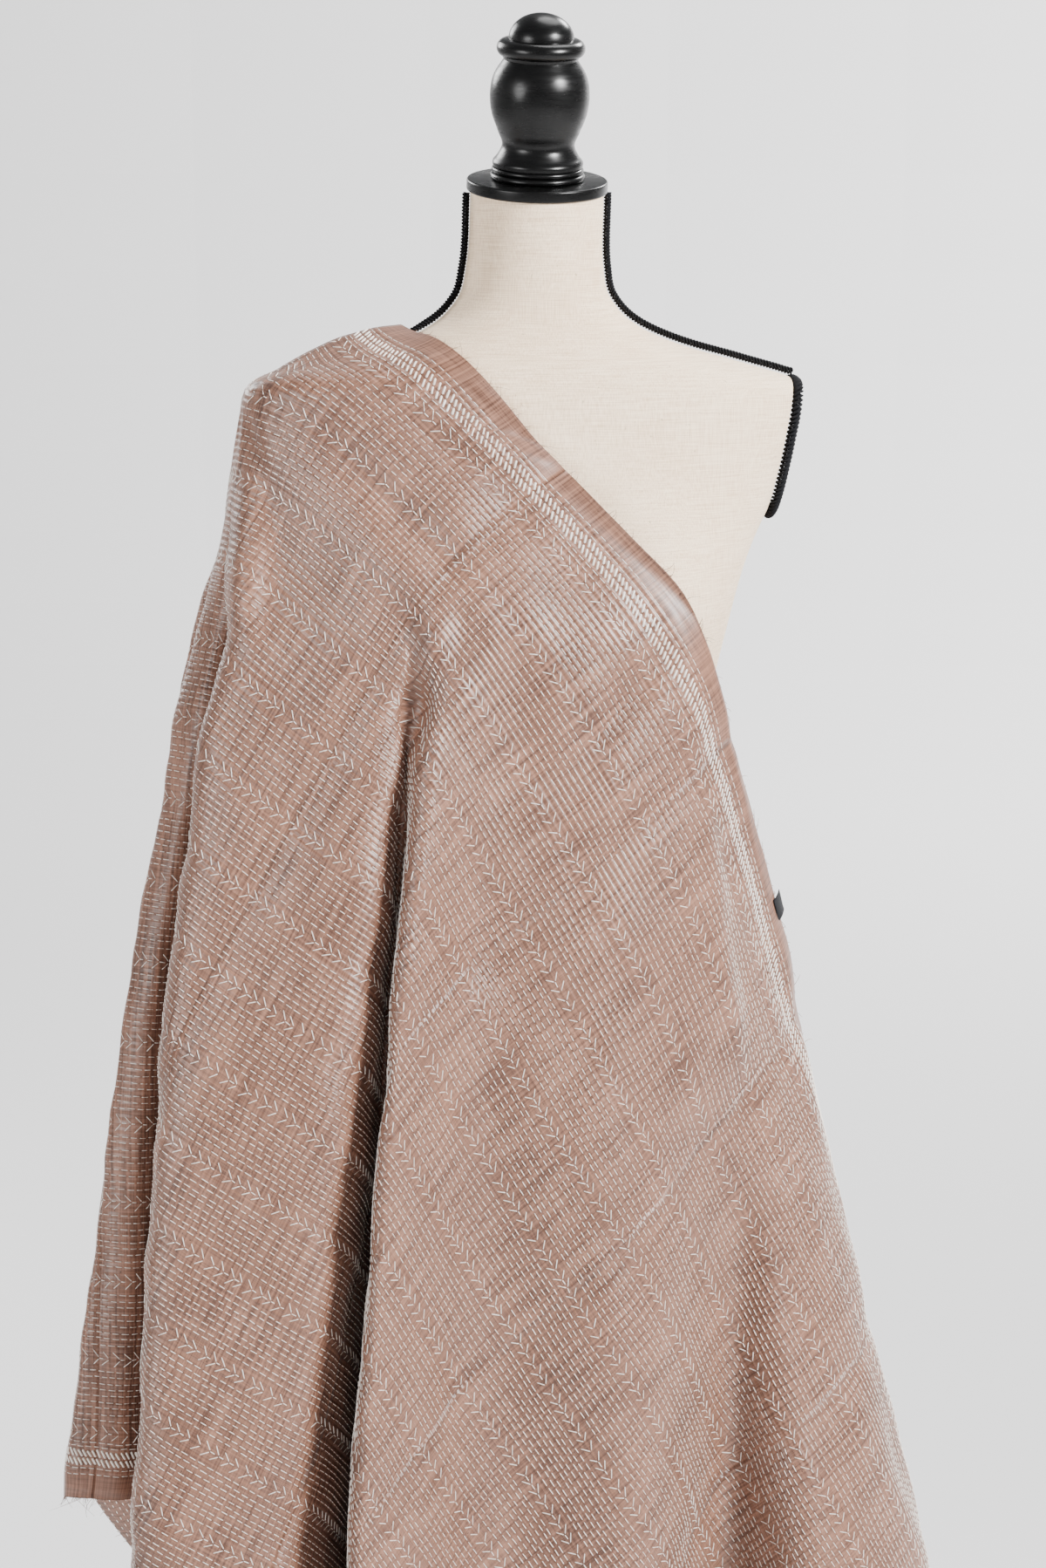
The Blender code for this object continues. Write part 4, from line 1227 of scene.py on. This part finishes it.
fray = {
    "perMetre": 240,
    "longest": 0.012,
    "shortest": 0.0018,
    "mostlyShort": 2.5,
    "radius": 0.00027,
    "taper": 0.55,
    "endClear": 0.02,
    "inside": 0.004,
    "lean": 0.7,
    "curl": 0.8,
    "lift": 0.35,
    "rooted": 0.12,
    "sag": 0.25,
    "stations": 5,
}


def looseThreads():
    edges = []
    for start, end in (
        ((0, 0), (cloth["front"], 0)),
        ((-cloth["back"], 0), (0, 0)),
        ((-cloth["back"], cloth["width"]), (cloth["front"], cloth["width"])),
    ):
        length = abs(end[0] - start[0])
        count = int(length * fray["perMetre"])
        s = start[0] + draw.uniform(fray["endClear"], length - fray["endClear"], count)
        edges.append(np.stack([s, np.full(count, float(start[1]))], axis=1))
    places = np.concatenate(edges)
    outward = np.where(places[:, 1] < cloth["width"] / 2, -1.0, 1.0)
    inside = places + np.stack([0 * outward, -outward * fray["inside"]], axis=1)
    points, normals = onCloth(places)
    inner, _ = onCloth(inside)
    away = points - inner
    away /= np.maximum(np.linalg.norm(away, axis=1), 1e-9)[:, None]
    along = np.cross(normals, away)
    triangles, made = [], []
    stationCount = fray["stations"]
    for k in range(len(places)):
        share = draw.uniform(0, 1) ** fray["mostlyShort"]
        length = fray["shortest"] + (fray["longest"] - fray["shortest"]) * share
        lean, curl, lift = (draw.normal(0, fray[way]) for way in ("lean", "curl", "lift"))
        start = len(made)
        for n in range(stationCount):
            w = n / (stationCount - 1)
            reach = away[k] * (w - fray["rooted"]) + along[k] * (lean * w + curl * w * w)
            reach += normals[k] * lift * w
            centre = points[k] + reach * length + Vector((0, 0, -fray["sag"] * length * w * w))
            radius = fray["radius"] * (1 - fray["taper"] * w)
            for m in range(3):
                a = math.tau * m / 3
                made.append(centre + radius * (math.cos(a) * along[k] + math.sin(a) * normals[k]))
        for n in range(stationCount - 1):
            for m in range(3):
                a, b = start + 3 * n + m, start + 3 * n + (m + 1) % 3
                triangles += [(a, b, b + 3), (a, b + 3, a + 3)]
        last = start + 3 * (stationCount - 1)
        triangles += [(start, start + 2, start + 1), (last, last + 1, last + 2)]
    threads = fromTriangles("looseThreads", made, triangles)
    closeUp(threads)
    setMaterial(threads, looks["silk"])
    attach(threads, "root")
    return threads


label = {
    "s": (0.571, 0.589),
    "t": (-0.009, 0.007),
    "edge": 0.0005,
    "inside": 0.004,
    "lift": 0.0012,
    "bow": 0.0007,
    "thick": 0.0005,
    "bevel": 0.00012,
    "lines": 9,
}


def makeLabel():
    # A bare tape folded over and sewn to the raw edge.
    lines, edgeAt = label["lines"], label["edge"]
    across = np.linspace(*label["t"], lines)
    places = [(s, max(t, edgeAt)) for s in np.linspace(*label["s"], lines) for t in across]
    points, normals = onCloth(places)
    inner, _ = onCloth([(s, label["inside"]) for s, _ in places])
    edge, _ = onCloth([(s, edgeAt) for s, _ in places])
    away = edge - inner
    away /= np.linalg.norm(away, axis=1)[:, None]
    over = np.clip(edgeAt - np.tile(across, lines), 0, None)
    bow = label["bow"] * np.sin(np.tile(np.linspace(0, math.pi, lines), lines))
    points = points + away * over[:, None] + normals * (label["lift"] + bow)[:, None]
    starts = [lines * i + j for i in range(lines - 1) for j in range(lines - 1)]
    faces = [(k, k + 1, k + lines + 1, k + lines) for k in starts]
    tape = makeMesh("edgeLabel", points, faces)
    closeUp(tape)
    applyModifier(tape, "SOLIDIFY", thickness=label["thick"], offset=1.0)
    applyModifier(tape, "BEVEL", width=label["bevel"], segments=2, limit_method="ANGLE")
    setMaterial(tape, looks["tape"])
    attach(tape, "root")
    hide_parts("edge_label")
    return tape


loose = looseThreads()
tape = makeLabel()
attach(dupatta, "root")
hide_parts("dupatta_front", "dupatta_fall", "dupatta_back")
print("edges and label made")


# A pale floor that curves up all round, soft lights and the camera.
studio = {
    "floorRadius": 8.0,
    "wallRadius": 12.0,
    "wallHeight": 5.0,
    "segments": 96,
    "pale": (0.70, 0.695, 0.695),
    "roughness": 0.9,
    "sky": (0.95, 0.97, 1.0),
    "ambient": 0.32,
    "lights": {
        "key": {"place": (1.9, -2.1, 2.7), "toward": (0, 0, 1.3), "size": 0.75, "energy": 300},
        "fill": {"place": (-3.0, -2.0, 1.9), "toward": (0, 0, 1.2), "size": 1.6, "energy": 85},
        "crown": {"place": (0.6, 0.5, 3.6), "toward": (0, 0, 1.2), "size": 1.4, "energy": 40},
        "rear": {"place": (-2.2, 3.4, 3.0), "toward": (0, 0, 1.1), "size": 1.8, "energy": 150},
        "wash": {"place": (5.2, 6.0, 6.5), "toward": (2.6, 8.6, 0.4), "size": 2.4, "energy": 1700},
    },
}


def makeStudio():
    inner, outer, height = studio["floorRadius"], studio["wallRadius"], studio["wallHeight"]
    outline = [(0.0, 0.0), (inner, 0.0)]
    outline += arc(inner, outer - inner, outer - inner, outer - inner, -90, 0, 16)[1:]
    outline += [(outer, height)]
    room = spunProfile("studioFloor", outline, studio["segments"], apart=1e-5, inside=True)
    look, _ = newMaterial("paleFloor", studio["pale"], studio["roughness"])
    setMaterial(room, look)
    world = bpy.data.worlds.new("studio")
    world.use_nodes = True
    background = world.node_tree.nodes["Background"]
    background.inputs["Color"].default_value = (*studio["sky"], 1)
    background.inputs["Strength"].default_value = studio["ambient"]
    bpy.context.scene.world = world
    for name, light in studio["lights"].items():
        bpy.ops.object.light_add(type="AREA", location=light["place"])
        lamp = bpy.context.object
        lamp.name = name
        lamp.data.shape = "DISK"
        lamp.data.size = light["size"]
        lamp.data.energy = light["energy"]
        toward = Vector(light["toward"]) - Vector(light["place"])
        lamp.rotation_euler = toward.to_track_quat("-Z", "Y").to_euler()


camera = {
    "target": (-0.0078, 0.0, 1.128),
    "far": 3.5,
    "azimuth": math.radians(-9),
    "pitch": math.radians(8),
    "lens": 108,
    "sensor": 36,
}


def makeCamera():
    a, e = camera["azimuth"], camera["pitch"]
    toward = Vector((-math.sin(a) * math.cos(e), math.cos(a) * math.cos(e), -math.sin(e)))
    place = Vector(camera["target"]) - toward * camera["far"]
    bpy.ops.object.camera_add(location=place)
    made = bpy.context.object
    made.name = "camera"
    made.rotation_euler = toward.to_track_quat("-Z", "Y").to_euler()
    made.data.sensor_fit = "VERTICAL"
    made.data.sensor_height = camera["sensor"]
    made.data.lens = camera["lens"]
    bpy.context.scene.camera = made


makeStudio()
makeCamera()
print("studio made")
